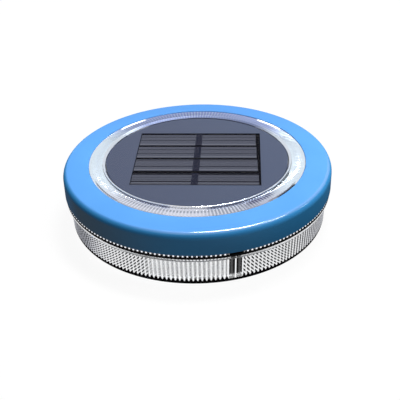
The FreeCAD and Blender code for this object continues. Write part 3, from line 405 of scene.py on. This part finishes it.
def turned(name, section, parts):
    """A closed ring: one loop drawn out from point to point of its section, in millimetres."""
    bpy.ops.object.select_all(action="DESELECT")
    radius, level = section[0]
    bpy.ops.mesh.primitive_circle_add(vertices=parts, radius=radius * MM,
                                      location=(0, 0, level * MM), enter_editmode=True)
    bpy.context.object.name = name
    for wider, higher in [*section[1:], section[0]]:
        bpy.ops.mesh.extrude_region_move()
        bpy.ops.transform.resize(value=(wider / radius, wider / radius, 1),
                                 center_override=(0, 0, 0))
        bpy.ops.transform.translate(value=(0, 0, (higher - level) * MM))
        radius, level = wider, higher
    bpy.ops.mesh.select_all(action="SELECT")
    bpy.ops.mesh.remove_doubles(threshold=0.002 * MM)
    bpy.ops.mesh.normals_make_consistent(inside=False)
    return bpy.context.object


def pick(kind, test):
    """Selects, in edit mode, the corners, edges or faces whose middle passes the test, in mm."""
    bpy.ops.mesh.select_mode(type=kind)
    bpy.ops.mesh.select_all(action="DESELECT")
    shape = bmesh.from_edit_mesh(bpy.context.object.data)
    lift = bpy.context.object.location
    for part in {"VERT": shape.verts, "EDGE": shape.edges, "FACE": shape.faces}[kind]:
        corners = [part.co] if kind == "VERT" else [corner.co for corner in part.verts]
        middle = sum(corners, corners[0] * 0) / len(corners) + lift
        part.select_set(test(*(middle / MM)))
    shape.select_flush_mode()
    bmesh.update_edit_mesh(bpy.context.object.data)


def away(x, y):
    return math.hypot(x, y)


def near(given, wanted, slack=0.05):
    return abs(given - wanted) < slack


def step_of(x, y, parts, repeat):
    """How many parts a corner is from the start of its rib, from 0 to repeat - 1."""
    return round(math.degrees(math.atan2(y, x)) / (360.0 / parts)) % repeat


def in_window(x, y):
    apart = 360.0 / CLIP_COUNT
    angle = math.degrees(math.atan2(y, x)) - CLIP_START
    return abs((angle + apart / 2) % apart - apart / 2) < WINDOW_HALF


def from_window(place):
    """Degrees round the upright axis from the middle of the nearest window."""
    return place.comb(CLIP_COUNT, CLIP_START) * (180 / CLIP_COUNT)


def spread(factor):
    bpy.ops.transform.resize(value=(factor, factor, 1), center_override=(0, 0, 0))


def settle(piece, body, material, slot, *stands_for, sharp=35.0):
    """Closes a piece: out of edit mode, place into the mesh, finish on, and tied to its body."""
    bpy.ops.object.mode_set(mode="OBJECT")
    bpy.ops.object.transform_apply(location=True, rotation=True, scale=True)
    bpy.ops.object.shade_smooth_by_angle(angle=math.radians(sharp))
    piece.data.name = piece.name
    piece.data.materials.clear()
    piece.data.materials.append(material)
    if stands_for:
        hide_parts(*stands_for)
    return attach(piece, body)


def bowl_clear(place):
    haze = place.noise(260, 2)
    draw = place.noise(90, 3, (1, 1, 4))
    reach, level = place.reach(), place.axis("Z") / MM
    across, back = place.axis("X") / MM, place.axis("Y") / MM
    side = abs(across)
    rib = place.comb(RIBS)
    window = from_window(place)
    fluted = window.ramp(WINDOW_HALF, WINDOW_HALF + WINDOW_EDGE)
    wall = reach.ramp(72.3, 72.5) * level.fade(BOWL_FLANGE_BASE, BOWL_FLANGE_BASE + 0.1)
    flutes = wall * fluted
    flange = reach.ramp(75.0, 75.2) * level.ramp(15.8, 16.0)

    # painted shade in the valleys between the floor's ribs, and the painted dark toothed line of
    # the foot, for the black foot ring seen through it
    on_floor = reach.within(FLOOR_INNER + 0.2, FLOOR_INNER + 0.4, FLOOR_OUTER + 0.1,
                            FLOOR_OUTER + 0.5)
    on_floor = on_floor * level.within(2.2, 2.3, 3.2, 3.3)
    spoke = rib.fade(0.25, 0.55) * on_floor * 0.7
    tooth = (1.0 - rib) * side.ramp(20, 56, FOOT_TOOTH, 0.6) * fluted
    foot_line = (tooth + FOOT_LINE - level).ramp(0.0, 0.2) * wall

    # a window: painted dark for the clip seen through it, darker towards its edges, with a clear
    # slit and a clear border
    slit = window.fade(SLIT_HALF - 0.1, SLIT_HALF + 0.1) * wall
    border = window.within(CLIP_DARK_HALF, CLIP_DARK_HALF + 0.2, WINDOW_BORDER, WINDOW_BORDER + 0.3)
    border = border * wall
    painted_clip_dark = abs(window - CLIP_DARK_MIDDLE).ramp(0.1, 0.95, 0.52, 0.95) * (1.0 - slit)
    painted_clip_dark = painted_clip_dark * window.fade(CLIP_DARK_HALF - 0.1, CLIP_DARK_HALF + 0.1) * wall
    painted_clip_dark = painted_clip_dark * level.within(4.2, 5.4, 14.4, 14.9)

    # painted dark dots in slanting rows, for what is seen through the flutes; the rows close up
    # towards both sides and fade in front
    ribs_away = across.math("ARCTAN2", across, 0.0 - back) * (RIBS / (2 * math.pi))
    ribs_away = abs(ribs_away - DOT_CENTRE)
    row = (level - BOWL_FOOT) * (ribs_away * DOTS_CLOSING + DOTS_PER_MM) + ribs_away
    dotted = across.fade(-28, -18) + across.ramp(22, 26)
    dot = rib.fade(0.4, 0.85, 0.08) * row.wave().fade(0.3, 0.65)
    dot = dot * across.fade(46, 54, 0.45) * (1.0 - border)
    dot = dot * dotted * level.fade(14.2, 14.8) * side.fade(64, 70, 0.3)
    # painted shade in the valleys of the flutes, towards the far left and right
    side_valley_shade = rib.fade(0.2, 0.55) * (across.ramp(-60, -53, 0.95, 0.0)
                                    + across.ramp(44, 54, 0.0, 0.7))
    # all the bowl's painted dark marks together: shade, dots, the foot line and the windows
    painted_black_mask = spoke | (dot | side_valley_shade) * flutes | foot_line | painted_clip_dark

    clear = haze.ramp(0.3, 0.7).shade((0.93, 0.945, 0.965), (0.975, 0.98, 0.99))
    # painted shade: the wall greyer and darker towards its far left and right, a little more on
    # the left
    side_shaded = ((side + across * -0.1).ramp(46, 72) * wall).shade(clear, SIDE_SHADE)
    # mirror-bright patches stand in for the glints and light that the clear flutes show: on the
    # crests, over the flutes and most on the dotted sides, along the top of the wall, at the
    # windows' slits and borders, and on the flange at the sides
    crest = rib.ramp(0.45, 0.75) * flutes * level.ramp(4.6, 6.0, 0.95, 0.8)
    mirror_glints = crest | (dotted * 0.55 + 0.25) * flutes | level.ramp(13.8, 14.4) * wall * 0.52
    mirror_glints = mirror_glints | (slit + border) * 0.9 + (1.0 - fluted) * wall * 0.25
    return {
        "Base Color": painted_black_mask.shade(side_shaded, PAINTED_BLACK),
        "Roughness": draw.ramp(0.35, 0.7, 0.02, 0.07),
        "Metallic": mirror_glints | flange * side.ramp(20, 50) * 0.7,
        "Dull": painted_black_mask * 0.97,
    }


clear_bowl = lets_lamps_through(finish("clear_polycarbonate_bowl", CLEAR, bowl_clear),
                                (0.92, 0.94, 0.96))

bowl = turned("ribbed_lens_bowl", [
    (BOWL_WALL_FOOT, BOWL_FOOT), (BOWL_WALL_TOP, BOWL_FLANGE_BASE),
    (BOWL_FLANGE_RADIUS, BOWL_FLANGE_BASE), (BOWL_FLANGE_RADIUS, BOWL_FLANGE_TOP),
    (72.0, BOWL_FLANGE_TOP), (71.2, FLOOR_TOP), (FLOOR_OUTER, FLOOR_TOP), (FLOOR_INNER, FLOOR_TOP),
    (HUB_OUTER, FLOOR_TOP), (HUB_OUTER, LEDGE_TOP), (LEDGE_RADIUS, LEDGE_TOP),
    (LEDGE_RADIUS, LEDGE_BASE), (HUB_INNER, LEDGE_BASE), (HUB_INNER, BOWL_FOOT),
], BOWL_PARTS)
for step, share in FLUTE_SHAPE:
    pick("VERT", lambda x, y, z: 73.0 < away(x, y) < 74.5 and z < BOWL_FLANGE_BASE + 0.1
         and not in_window(x, y)
         and step_of(x, y, BOWL_PARTS, PER_RIB) in (step, (PER_RIB - step) % PER_RIB))
    spread(1 - share * FLUTE_DEPTH / BOWL_WALL_TOP)
pick("VERT", lambda x, y, z: FLOOR_INNER - 0.4 < away(x, y) < FLOOR_OUTER + 0.4
     and near(z, FLOOR_TOP, 0.1) and step_of(x, y, BOWL_PARTS, PER_RIB) == PER_RIB // 2)
bpy.ops.transform.translate(value=(0, 0, FLOOR_RIB * MM))
pick("EDGE", lambda x, y, z: near(away(x, y), BOWL_FLANGE_RADIUS)
     and (near(z, BOWL_FLANGE_BASE) or near(z, BOWL_FLANGE_TOP)))
bpy.ops.mesh.bevel(offset=BOWL_FLANGE_ROUND * MM, segments=2, affect="EDGES")
settle(bowl, "housing", clear_bowl, "clear_plastic", "lens_bowl")


# The lock clips: three double-legged clips of dark glass-filled nylon, screwed to the bowl's floor
# right behind its plain windows, with the grey flecks of the filling in their faces.
def glass_filled(place):
    fleck = place.noise(1900, 2, (1, 1, 0.25))
    return {
        "Base Color": fleck.ramp(0.5, 0.75).shade((0.016, 0.016, 0.019), (0.05, 0.05, 0.056)),
        "Roughness": fleck.ramp(0.3, 0.7, 0.45, 0.6),
        "Normal": fleck.bump(0.15, 0.05 * MM),
    }


paint(["lock_clips"], finish("glass_filled_nylon", {"Specular IOR Level": 0.2}, glass_filled))


# The reflector: a cone of white plastic, vacuum metallised on the outside, which throws the light
# of the six lamps out through the wall of the bowl.
def metallised(place):
    haze = place.noise(40, 2)
    orange_peel = place.noise(700, 2)
    return {
        "Base Color": haze.ramp(0.3, 0.7).shade((0.9, 0.91, 0.93), (0.84, 0.85, 0.87)),
        "Roughness": haze.ramp(0.3, 0.7, 0.1, 0.2),
        "Normal": orange_peel.bump(0.05, 0.04 * MM),
    }


paint(["reflector"], finish("metallised_plastic", {"Metallic": 1.0}, metallised))


# The circuit board: white solder mask over glass weave, with a tinned ring round it that feeds the
# lamps, and on it the driver chip, its coil, a capacitor and the sense resistors.
def solder_mask(place):
    weave = place.noise(900, 2, (1, 0.15, 1)) * 0.5 + place.noise(900, 2, (0.15, 1, 1)) * 0.5
    reach = place.reach()
    feed = reach.ramp(42.4, 42.5) * reach.ramp(43.4, 43.5, 1.0, 0.0)
    mask = weave.ramp(0.4, 0.6).shade((0.78, 0.79, 0.78), (0.7, 0.71, 0.7))
    return {
        "Base Color": feed.shade(mask, (0.66, 0.66, 0.68)),
        "Metallic": feed,
        "Roughness": weave.ramp(0.4, 0.6, 0.3, 0.42),
        "Normal": weave.bump(0.08, 0.04 * MM),
    }


paint(["circuit_board"], finish("white_solder_mask", {}, solder_mask))
paint(["driver_chip"], moulded("moulded_chip", (0.012, 0.012, 0.014), (0.02, 0.02, 0.022), 0.5))
paint(["storage_inductor"], moulded("pressed_ferrite", (0.05, 0.05, 0.052), (0.08, 0.08, 0.083),
                                    0.65, 2200, 0.3))
paint(["sense_resistors"], moulded("glazed_resistor", (0.02, 0.02, 0.024), (0.03, 0.03, 0.034),
                                   0.25))
paint(["smoothing_capacitor"], metal("capacitor_can", (0.7, 0.71, 0.73), (0.6, 0.61, 0.63), 0.25,
                                     (3, 3, 0.3)))


# The lamps: six round white light-emitting diodes of clear epoxy with a yellow phosphor blush,
# hanging from the board on tinned steel leads.
def epoxy_dome(place):
    cloud = place.noise(500, 2)
    return {
        "Base Color": cloud.ramp(0.3, 0.7).shade((0.9, 0.9, 0.82), (0.96, 0.95, 0.88)),
        "Roughness": cloud.ramp(0.3, 0.7, 0.1, 0.18),
    }


paint(["led_lamps"], finish("lamp_epoxy", {"Transmission Weight": 0.4}, epoxy_dome))
paint(["led_leads"], metal("tinned_leads", (0.7, 0.69, 0.67), (0.6, 0.59, 0.58), 0.3))


# The wires: stranded copper in extruded sleeves, red for plus and black for minus, a pair from
# the battery, a pair from the panel and a pair to the switch.
def sleeve(name, base, deep):
    def surface(place):
        drag = place.noise(600, 3)
        return {
            "Base Color": drag.ramp(0.3, 0.7).shade(base, deep),
            "Roughness": drag.ramp(0.3, 0.7, 0.34, 0.48),
            "Normal": drag.bump(0.06, 0.03 * MM),
        }
    return finish(name, {}, surface)


paint(["panel_wire_red", "battery_wire_red"],
      sleeve("red_wire_sleeve", (0.55, 0.02, 0.015), (0.45, 0.015, 0.012)))
paint(["panel_wire_black", "battery_wire_black", "switch_wires"],
      sleeve("black_wire_sleeve", (0.01, 0.01, 0.011), (0.018, 0.018, 0.02)))


# The top cover: the clear lid that carries the panel in a shallow recess with a round lip. Its
# level band is ribbed like spokes and its flange is knurled, both in the mould. The band, lip and
# knurl are painted with light, shade, glints and dark reflections: painted shade in the ribs'
# valleys, two thin dark arcs on its right and a painted shaded line along its outer edge in front.
COVER_PARTS = 1200
SPOKES = 200
PER_SPOKE = COVER_PARTS // SPOKES
SPOKE_DEPTH = 0.2
TOOTH_DEPTH = 0.45
COVER_FLANGE_RADIUS = 75.7
COVER_FLANGE_BASE = 18.2
COVER_FLANGE_TOP = 19.5
COVER_WALL = 73.6
COVER_BORE = 71.8
WIRE_HOLE = 4.0
RECESS_RADIUS = 51.8
RECESS_BASE = 29.7
RECESS_TOP = 31.3
LIP_TOP = 34.3
LIP_CREST = 52.9
LIP_RADIUS = 53.4
LIP_ROUND = 0.22
BAND_TOP = 33.1
BAND_BASE = 30.8
BAND_RADIUS = 61.2
# tones painted for the light and shade that the clear band and lip show: bright for lit ridges and
# dim for shaded valleys, from front to side to rear; dark blue, grey and black for painted shade
# and dark reflections; the lip's light top and shaded wall; and white for painted glints
BRIGHT_LEFT, BRIGHT_RIGHT = (0.80, 0.82, 0.93), (0.56, 0.58, 0.72)
BRIGHT_SIDE, BRIGHT_REAR = (0.79, 0.90, 1.0), (0.25, 0.30, 0.41)
DIM_FRONT, DIM_SIDE, DIM_REAR = (0.33, 0.37, 0.46), (0.5, 0.6, 0.8), (0.13, 0.16, 0.31)
NOTCH_BLUE, SHADE_GREY, ARC_BLACK = (0.08, 0.09, 0.2), (0.24, 0.26, 0.33), (0.03, 0.035, 0.06)
LIP_SIDE, LIP_FRONT, LIP_UPPER = (0.1, 0.14, 0.22), (0.2, 0.22, 0.34), (0.78, 0.85, 0.95)
GLINT = (1.0, 1.0, 1.0)


def cover_clear(place):
    haze = place.noise(300, 2)
    reach, level = place.reach(), place.axis("Z") / MM
    across, back = place.axis("X") / MM, place.axis("Y") / MM
    side = abs(across)
    rear, front = back.ramp(15, 42), back.fade(-48, -28)
    clear = haze.ramp(0.3, 0.7).shade((0.90, 0.93, 1.0), (0.95, 0.965, 1.0))
    spoke = place.comb(SPOKES)
    ridge = spoke.fade(0.3, 0.8, 0.3)

    # the band: painted light on the ridges and painted shade in the valleys, each changing from
    # front to sides to rear
    band = reach.within(53.5, 53.6, BAND_RADIUS + 0.1, BAND_RADIUS + 0.2)
    band = band * level.ramp(BAND_TOP - 1.3, BAND_TOP - 1.2)
    front_light = across.ramp(18, 30).shade(BRIGHT_LEFT, BRIGHT_RIGHT)
    painted_light = rear.shade(front.shade(BRIGHT_SIDE, front_light), BRIGHT_REAR)
    painted_shade = rear.shade(front.shade(DIM_SIDE, DIM_FRONT), DIM_REAR)
    near_right = across.within(2, 14, 32, 38)
    near_left = across.within(-48, -38, -16, -10)
    shaded_zone = reach.ramp(54.9, 55.6) * reach.fade(56.9, 57.8, 0.15)
    shaded_zone = (shaded_zone | near_right + near_left * 0.6) * across.ramp(-40, 40, 0.8, 1.0)
    valley_shade = spoke.fade(0.3, 0.8, 0.15) * ((front | rear) * 0.8 + 0.2) * (rear | shaded_zone)
    # a painted glint on the band's outer edge at the rear, on both sides
    glint = reach.ramp(59.6, 60.0) * side.within(34, 36, 47, 49) * rear
    ribbed = glint.shade(valley_shade.shade(painted_light, painted_shade), GLINT)

    # over it: painted shade in dark blue on the ridges in front, right of the middle; painted grey
    # arcs for dark reflections at both front corners and a painted shaded line along the outer
    # edge in front; and black arcs on the right, painted for dark reflections
    notch = reach.within(54.0, 54.4, 56.4, 58.4) * ridge
    notch = notch * across.within(27, 31, 39, 44) * back.fade(-2, 2)
    ribbed = notch.shade(ribbed, NOTCH_BLUE)
    arc = reach.within(59.5, 59.8, 60.3, 60.6) * side.within(38, 41, 52, 55) * back.fade(-24, -16)
    front_edge_shade = reach.ramp(60.3, 60.8) * front
    ribbed = (arc | front_edge_shade * 0.7).shade(ribbed, SHADE_GREY)
    inner = reach.within(53.6, 53.7, 54.0, 54.2) * across.within(40, 42, 51.2, 52)
    inner = inner * back.fade(-14, -12)
    outer = reach.ramp(60.2, 60.4) * across.ramp(43, 46) * back.fade(-30, -27)
    dark_arcs = (inner | outer * 0.8) * band
    ribbed = dark_arcs.shade(ribbed, ARC_BLACK)

    # the lip: painted light on its top, painted shade low on its outer wall, and a painted
    # highlight in front of the middle; at the rear it takes the band's painted tones
    lip = reach.within(51.6, 51.7, 53.5, 53.6) * level.ramp(33.2, 33.3)
    lower_half = reach.ramp(53.2, 53.3) * level.fade(33.6, 33.8)
    middle = abs(across + 1.5).fade(8, 12) * front
    rounded = lower_half.shade(LIP_UPPER, front.shade(LIP_SIDE, LIP_FRONT))
    rounded = rear.shade(middle.shade(rounded, GLINT), ribbed)

    # the knurl: a mirror patch on each crest and a faint one in each valley, none at a window, for
    # its glints; the rest of the knurl is painted black for the gasket seen through it
    knurled = reach.ramp(75.1, 75.2) * level.fade(COVER_FLANGE_TOP + 0.05, COVER_FLANGE_TOP + 0.1)
    tooth = (spoke.ramp(0.4, 0.65) + spoke.ramp(0.05, 0.25, 0.4, 0.0)) * knurled
    tooth = tooth * level.ramp(18.55, 18.7)
    tooth = tooth * from_window(place).ramp(WINDOW_HALF, WINDOW_HALF + WINDOW_EDGE)
    # the band and lip are near mirrors, so that their painted tones show as they are
    return {
        "Base Color": lip.shade(band.shade(clear, ribbed), rounded),
        "Roughness": haze.ramp(0.35, 0.7, 0.06, 0.12) + (band + lip) * rear * 0.45,
        "Metallic": band * 0.85 | lip * 0.8 | tooth,
        "Dull": (knurled - tooth + dark_arcs) * 0.97,
    }


clear_cover = lets_lamps_through(finish("clear_polycarbonate_cover", CLEAR, cover_clear),
                                 (0.92, 0.94, 0.97))


def in_valley(x, y):
    return step_of(x, y, COVER_PARTS, PER_SPOKE) in (0, 1, PER_SPOKE - 1)


cover = turned("ribbed_top_cover", [
    (WIRE_HOLE, RECESS_BASE), (WIRE_HOLE, RECESS_TOP), (RECESS_RADIUS, RECESS_TOP),
    (RECESS_RADIUS, 33.3), (LIP_CREST, LIP_TOP), (LIP_RADIUS, LIP_TOP), (LIP_RADIUS, BAND_TOP),
    (53.9, BAND_TOP), (57.2, BAND_TOP), (60.7, BAND_TOP), (BAND_RADIUS, BAND_TOP),
    (BAND_RADIUS, RECESS_TOP), (COVER_BORE, 30.3), (COVER_WALL, 28.5),
    (COVER_WALL, COVER_FLANGE_TOP), (COVER_FLANGE_RADIUS, COVER_FLANGE_TOP),
    (COVER_FLANGE_RADIUS, COVER_FLANGE_BASE), (COVER_BORE, COVER_FLANGE_BASE), (COVER_BORE, 27.1),
    (59.6, RECESS_BASE), (59.6, BAND_BASE), (LIP_RADIUS, BAND_BASE), (LIP_RADIUS, RECESS_BASE),
], COVER_PARTS)
pick("VERT", lambda x, y, z: 53.8 < away(x, y) < 60.8 and near(z, BAND_TOP) and in_valley(x, y))
bpy.ops.transform.translate(value=(0, 0, -SPOKE_DEPTH * MM))
pick("VERT", lambda x, y, z: away(x, y) > COVER_FLANGE_RADIUS - 0.2
     and (in_window(x, y) or in_valley(x, y)))
spread(1 - TOOTH_DEPTH / COVER_FLANGE_RADIUS)
pick("EDGE", lambda x, y, z: z > LIP_TOP - 0.05
     and (near(away(x, y), LIP_CREST, 0.1) or near(away(x, y), LIP_RADIUS, 0.1)))
bpy.ops.mesh.bevel(offset=LIP_ROUND * MM, segments=3, affect="EDGES", clamp_overlap=False)
settle(cover, "housing", clear_cover, "clear_plastic", "top_cover")


# The solar panel: four strips of silicon on a slate board, tinned ribbons across their middles,
# and a poured coat of clear resin over all of it. It lies on a ring of clear glue.
SLATE = (0.102, 0.120, 0.178)
SLATE_RIGHT = (0.104, 0.127, 0.190)
PRINT_BLACK = (0.006, 0.006, 0.009)
STRIPS = ("solar_strip_4", "solar_strip_3", "solar_strip_2", "solar_strip_1")
STRIP_LINES = {
    # each line printed on a strip: how far from the rear edge, its width, mm, and how black it is
    "solar_strip_4": ((0.1, 1.6, 1.0), (3.7, 0.7, 0.6), (7.8, 0.9, 0.6)),
    "solar_strip_3": ((0.1, 1.8, 1.0), (4.3, 0.7, 0.7), (9.1, 0.7, 0.7)),
    "solar_strip_2": ((0.2, 2.0, 1.0), (2.5, 0.7, 0.6), (9.1, 0.8, 0.8)),
    "solar_strip_1": ((0.7, 2.2, 1.0), (2.6, 2.0, 0.85), (6.4, 0.6, 0.4), (8.6, 0.6, 0.3),
                      (10.7, 1.0, 0.9), (13.0, 0.8, 0.6)),
}
LINE_EDGE = 0.1
BLACK_END = {
    # how wide the printed black at the right end of each strip is, mm
    "solar_strip_4": 2.4, "solar_strip_3": 2.1, "solar_strip_2": 1.6, "solar_strip_1": 1.1,
}
SILICON_LEFT = (0.094, 0.101, 0.131)
SILICON_RIGHT = (0.088, 0.094, 0.122)
SILICON_EDGE = (0.16, 0.17, 0.205)
# cast in resin, they have no gloss of their own
EMBEDDED = {"Specular IOR Level": 0.0}
RESIN = {"Transmission Weight": 1.0, "IOR": 1.06, "Roughness": 0.04}
field_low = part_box("solar_strip_1")[0] / MM
field_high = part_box("solar_strip_4")[1] / MM


def slate_board(place):
    grain = place.noise(900, 3)
    along, back = place.axis("X") / MM, place.axis("Y") / MM
    field = along.within(field_low.x - 0.6, field_low.x - 0.4, field_high.x, field_high.x + 0.2)
    field = field * back.within(field_low.y - 0.1, field_low.y,
                                field_high.y + 1.7, field_high.y + 1.9)
    # the slate is painted a little lighter and bluer towards the right: painted light
    slate = along.ramp(-50, 50).shade(SLATE, SLATE_RIGHT)
    return {
        "Base Color": field.shade(slate, PRINT_BLACK),
        "Roughness": grain.ramp(0.3, 0.7, 0.5, 0.65),
        "Normal": grain.bump(0.1, 0.05 * MM),
    }


paint(["panel_backing"], finish("slate_panel_board", EMBEDDED, slate_board))


def with_line(tone, back, line, width, black):
    """The tone with one printed line over it, back being the distance from the rear edge."""
    line = abs(back - line).ramp(width / 2 - LINE_EDGE, width / 2 + LINE_EDGE, black, 0.0)
    return line.shade(tone, PRINT_BLACK)


def striped(name):
    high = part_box(name)[1] / MM
    right_end = high.x - BLACK_END[name]

    def silicon(place):
        back = high.y - place.axis("Y") / MM
        along = place.axis("X") / MM
        # the silicon is painted a little darker towards the right: painted shade
        tone = along.ramp(-36, 36).shade(SILICON_LEFT, SILICON_RIGHT)
        tone = back.within(11.9, 12.3, 13.1, 13.4).shade(tone, SILICON_EDGE)
        for printed in STRIP_LINES[name]:
            tone = with_line(tone, back, *printed)
        return {
            "Base Color": along.ramp(right_end - 0.2, right_end).shade(tone, PRINT_BLACK),
            "Roughness": place.noise(700, 3, (0.2, 4, 1)).ramp(0.3, 0.7, 0.3, 0.45),
        }

    return finish("silicon_" + name, EMBEDDED, silicon)


for strip in STRIPS:
    paint([strip], striped(strip))


def tinned_ribbon(place):
    grain = place.noise(1500, 3, (4, 0.3, 1))
    tone = grain.ramp(0.3, 0.7).shade((0.02, 0.022, 0.04), (0.03, 0.032, 0.05))
    for crossed in STRIPS[1:]:
        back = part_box(crossed)[1].y / MM - place.axis("Y") / MM
        tone = with_line(tone, back, *STRIP_LINES[crossed][0])
    return {
        "Base Color": tone,
        "Roughness": grain.ramp(0.3, 0.7, 0.35, 0.5),
    }


paint(["strip_ribbons"], finish("tinned_ribbon", EMBEDDED, tinned_ribbon))


def cured_glue(place):
    swirl = place.noise(400, 3)
    return {
        "Base Color": swirl.ramp(0.3, 0.7).shade((0.5, 0.5, 0.5), (0.6, 0.6, 0.6)),
        "Roughness": swirl.ramp(0.3, 0.7, 0.3, 0.45),
    }


paint(["panel_adhesive"], finish("clear_panel_glue", {}, cured_glue))


def poured_resin(place):
    ripple = place.noise(60, 2)
    return {
        "Base Color": ripple.ramp(0.3, 0.7).shade((0.97, 0.975, 1.0), (0.99, 0.99, 1.0)),
        "Normal": ripple.bump(0.01, 0.1 * MM),
    }


paint(["panel_resin"], lets_lamps_through(finish("clear_poured_resin", RESIN, poured_resin),
                                          (0.97, 0.97, 0.98)))


# The float ring: one blue polypropylene moulding, an L in section, snapped over the cover's bead.
# Its top face is level and satin, breaks over a soft edge and rolls down into an upright wall.
RING_PARTS = 288
RING_RADIUS = 76.0
RING_BORE = 74.0
RING_FOOT = 19.6
RING_SHOULDER = 30.92
RING_BREAK = (73.8, 32.4)
RING_HOLE = (61.4, 33.5)
RING_ROUNDS = (
    # each rounded edge: radius and level, size of the round, and how many facets it has
    (RING_RADIUS, RING_SHOULDER, 2.18, 10),
    (*RING_BREAK, 0.4, 4),
    (*RING_HOLE, 0.4, 4),
    (RING_RADIUS, RING_FOOT, 0.25, 2),
)
RING_BLUE = (0.128, 0.395, 0.90)
RING_DEEP = (0.118, 0.375, 0.86)
# painted shade: the top darker towards the rear
RING_REAR_SHADE = (0.112, 0.32, 0.74)
# painted light and shade on the wall: greyer and darker on the left, bluer and brighter on the
# right, bluer again at the far left end, deeper blue at the far right, and deeper where it rolls
# down
RING_SIDE_LEFT = (0.178, 0.30, 0.44)
RING_SIDE_RIGHT = (0.105, 0.415, 0.81)
RING_SIDE_END = (0.15, 0.40, 0.76)
RING_SIDE_FAR = (0.05, 0.33, 0.70)
RING_ROLLED = (0.055, 0.34, 0.76)
LACQUERED = {"Specular IOR Level": 0.0, "Metallic": 0.02, "Coat Roughness": 0.12, "Coat IOR": 1.8}


def blue_moulding(place):
    flow = place.noise(35, 2)
    pores = place.noise(2600, 2)
    scuff = place.noise(420, 5, (1, 1, 3))
    across, back, level = (place.axis(name) / MM for name in "XYZ")
    # painted light and shade on the wall, from left to right and on the rolled shoulder
    lit_and_shaded_wall = across.ramp(-60, 0).shade(RING_SIDE_LEFT, RING_SIDE_RIGHT)
    lit_and_shaded_wall = across.fade(-70, -60).shade(lit_and_shaded_wall, RING_SIDE_END)
    lit_and_shaded_wall = across.ramp(15, 62).shade(lit_and_shaded_wall, RING_SIDE_FAR)
    lit_and_shaded_wall = level.ramp(28.6, 30.4).shade(lit_and_shaded_wall, RING_ROLLED)
    top = flow.ramp(0.3, 0.75).shade(RING_BLUE, RING_DEEP)
    # painted shade towards the rear of the top
    top = back.ramp(10, 75).shade(top, RING_REAR_SHADE)
    rolled_edge = level.ramp(31.3, 31.9) * place.reach().ramp(73.0, 73.6)
    front_right = (across * 0.5 - back).ramp(20, 60) * across.ramp(-40, 0)
    return {
        "Base Color": level.ramp(31.5, 32.5).shade(lit_and_shaded_wall, top),
        "Coat Weight": rolled_edge * front_right,
        "Roughness": scuff.ramp(0.4, 0.75, 0.08, 0.14),
        "Normal": pores.bump(0.06, 0.05 * MM),
    }


ring = turned("blue_float_ring", [
    (RING_RADIUS, RING_FOOT), (RING_RADIUS, RING_SHOULDER), RING_BREAK, RING_HOLE,
    (RING_HOLE[0], 31.5), (71.9, 30.5), (RING_BORE, 28.4), (RING_BORE, 26.5), (74.35, 26.2),
    (RING_BORE, 25.8), (RING_BORE, RING_FOOT),
], RING_PARTS)
for radius, level, size, facets in RING_ROUNDS:
    pick("EDGE", lambda x, y, z: near(away(x, y), radius) and near(z, level))
    bpy.ops.mesh.bevel(offset=size * MM, segments=facets, affect="EDGES", clamp_overlap=False)
settle(ring, "housing", finish("blue_polypropylene", LACQUERED, blue_moulding), "blue_plastic",
       "float_ring")
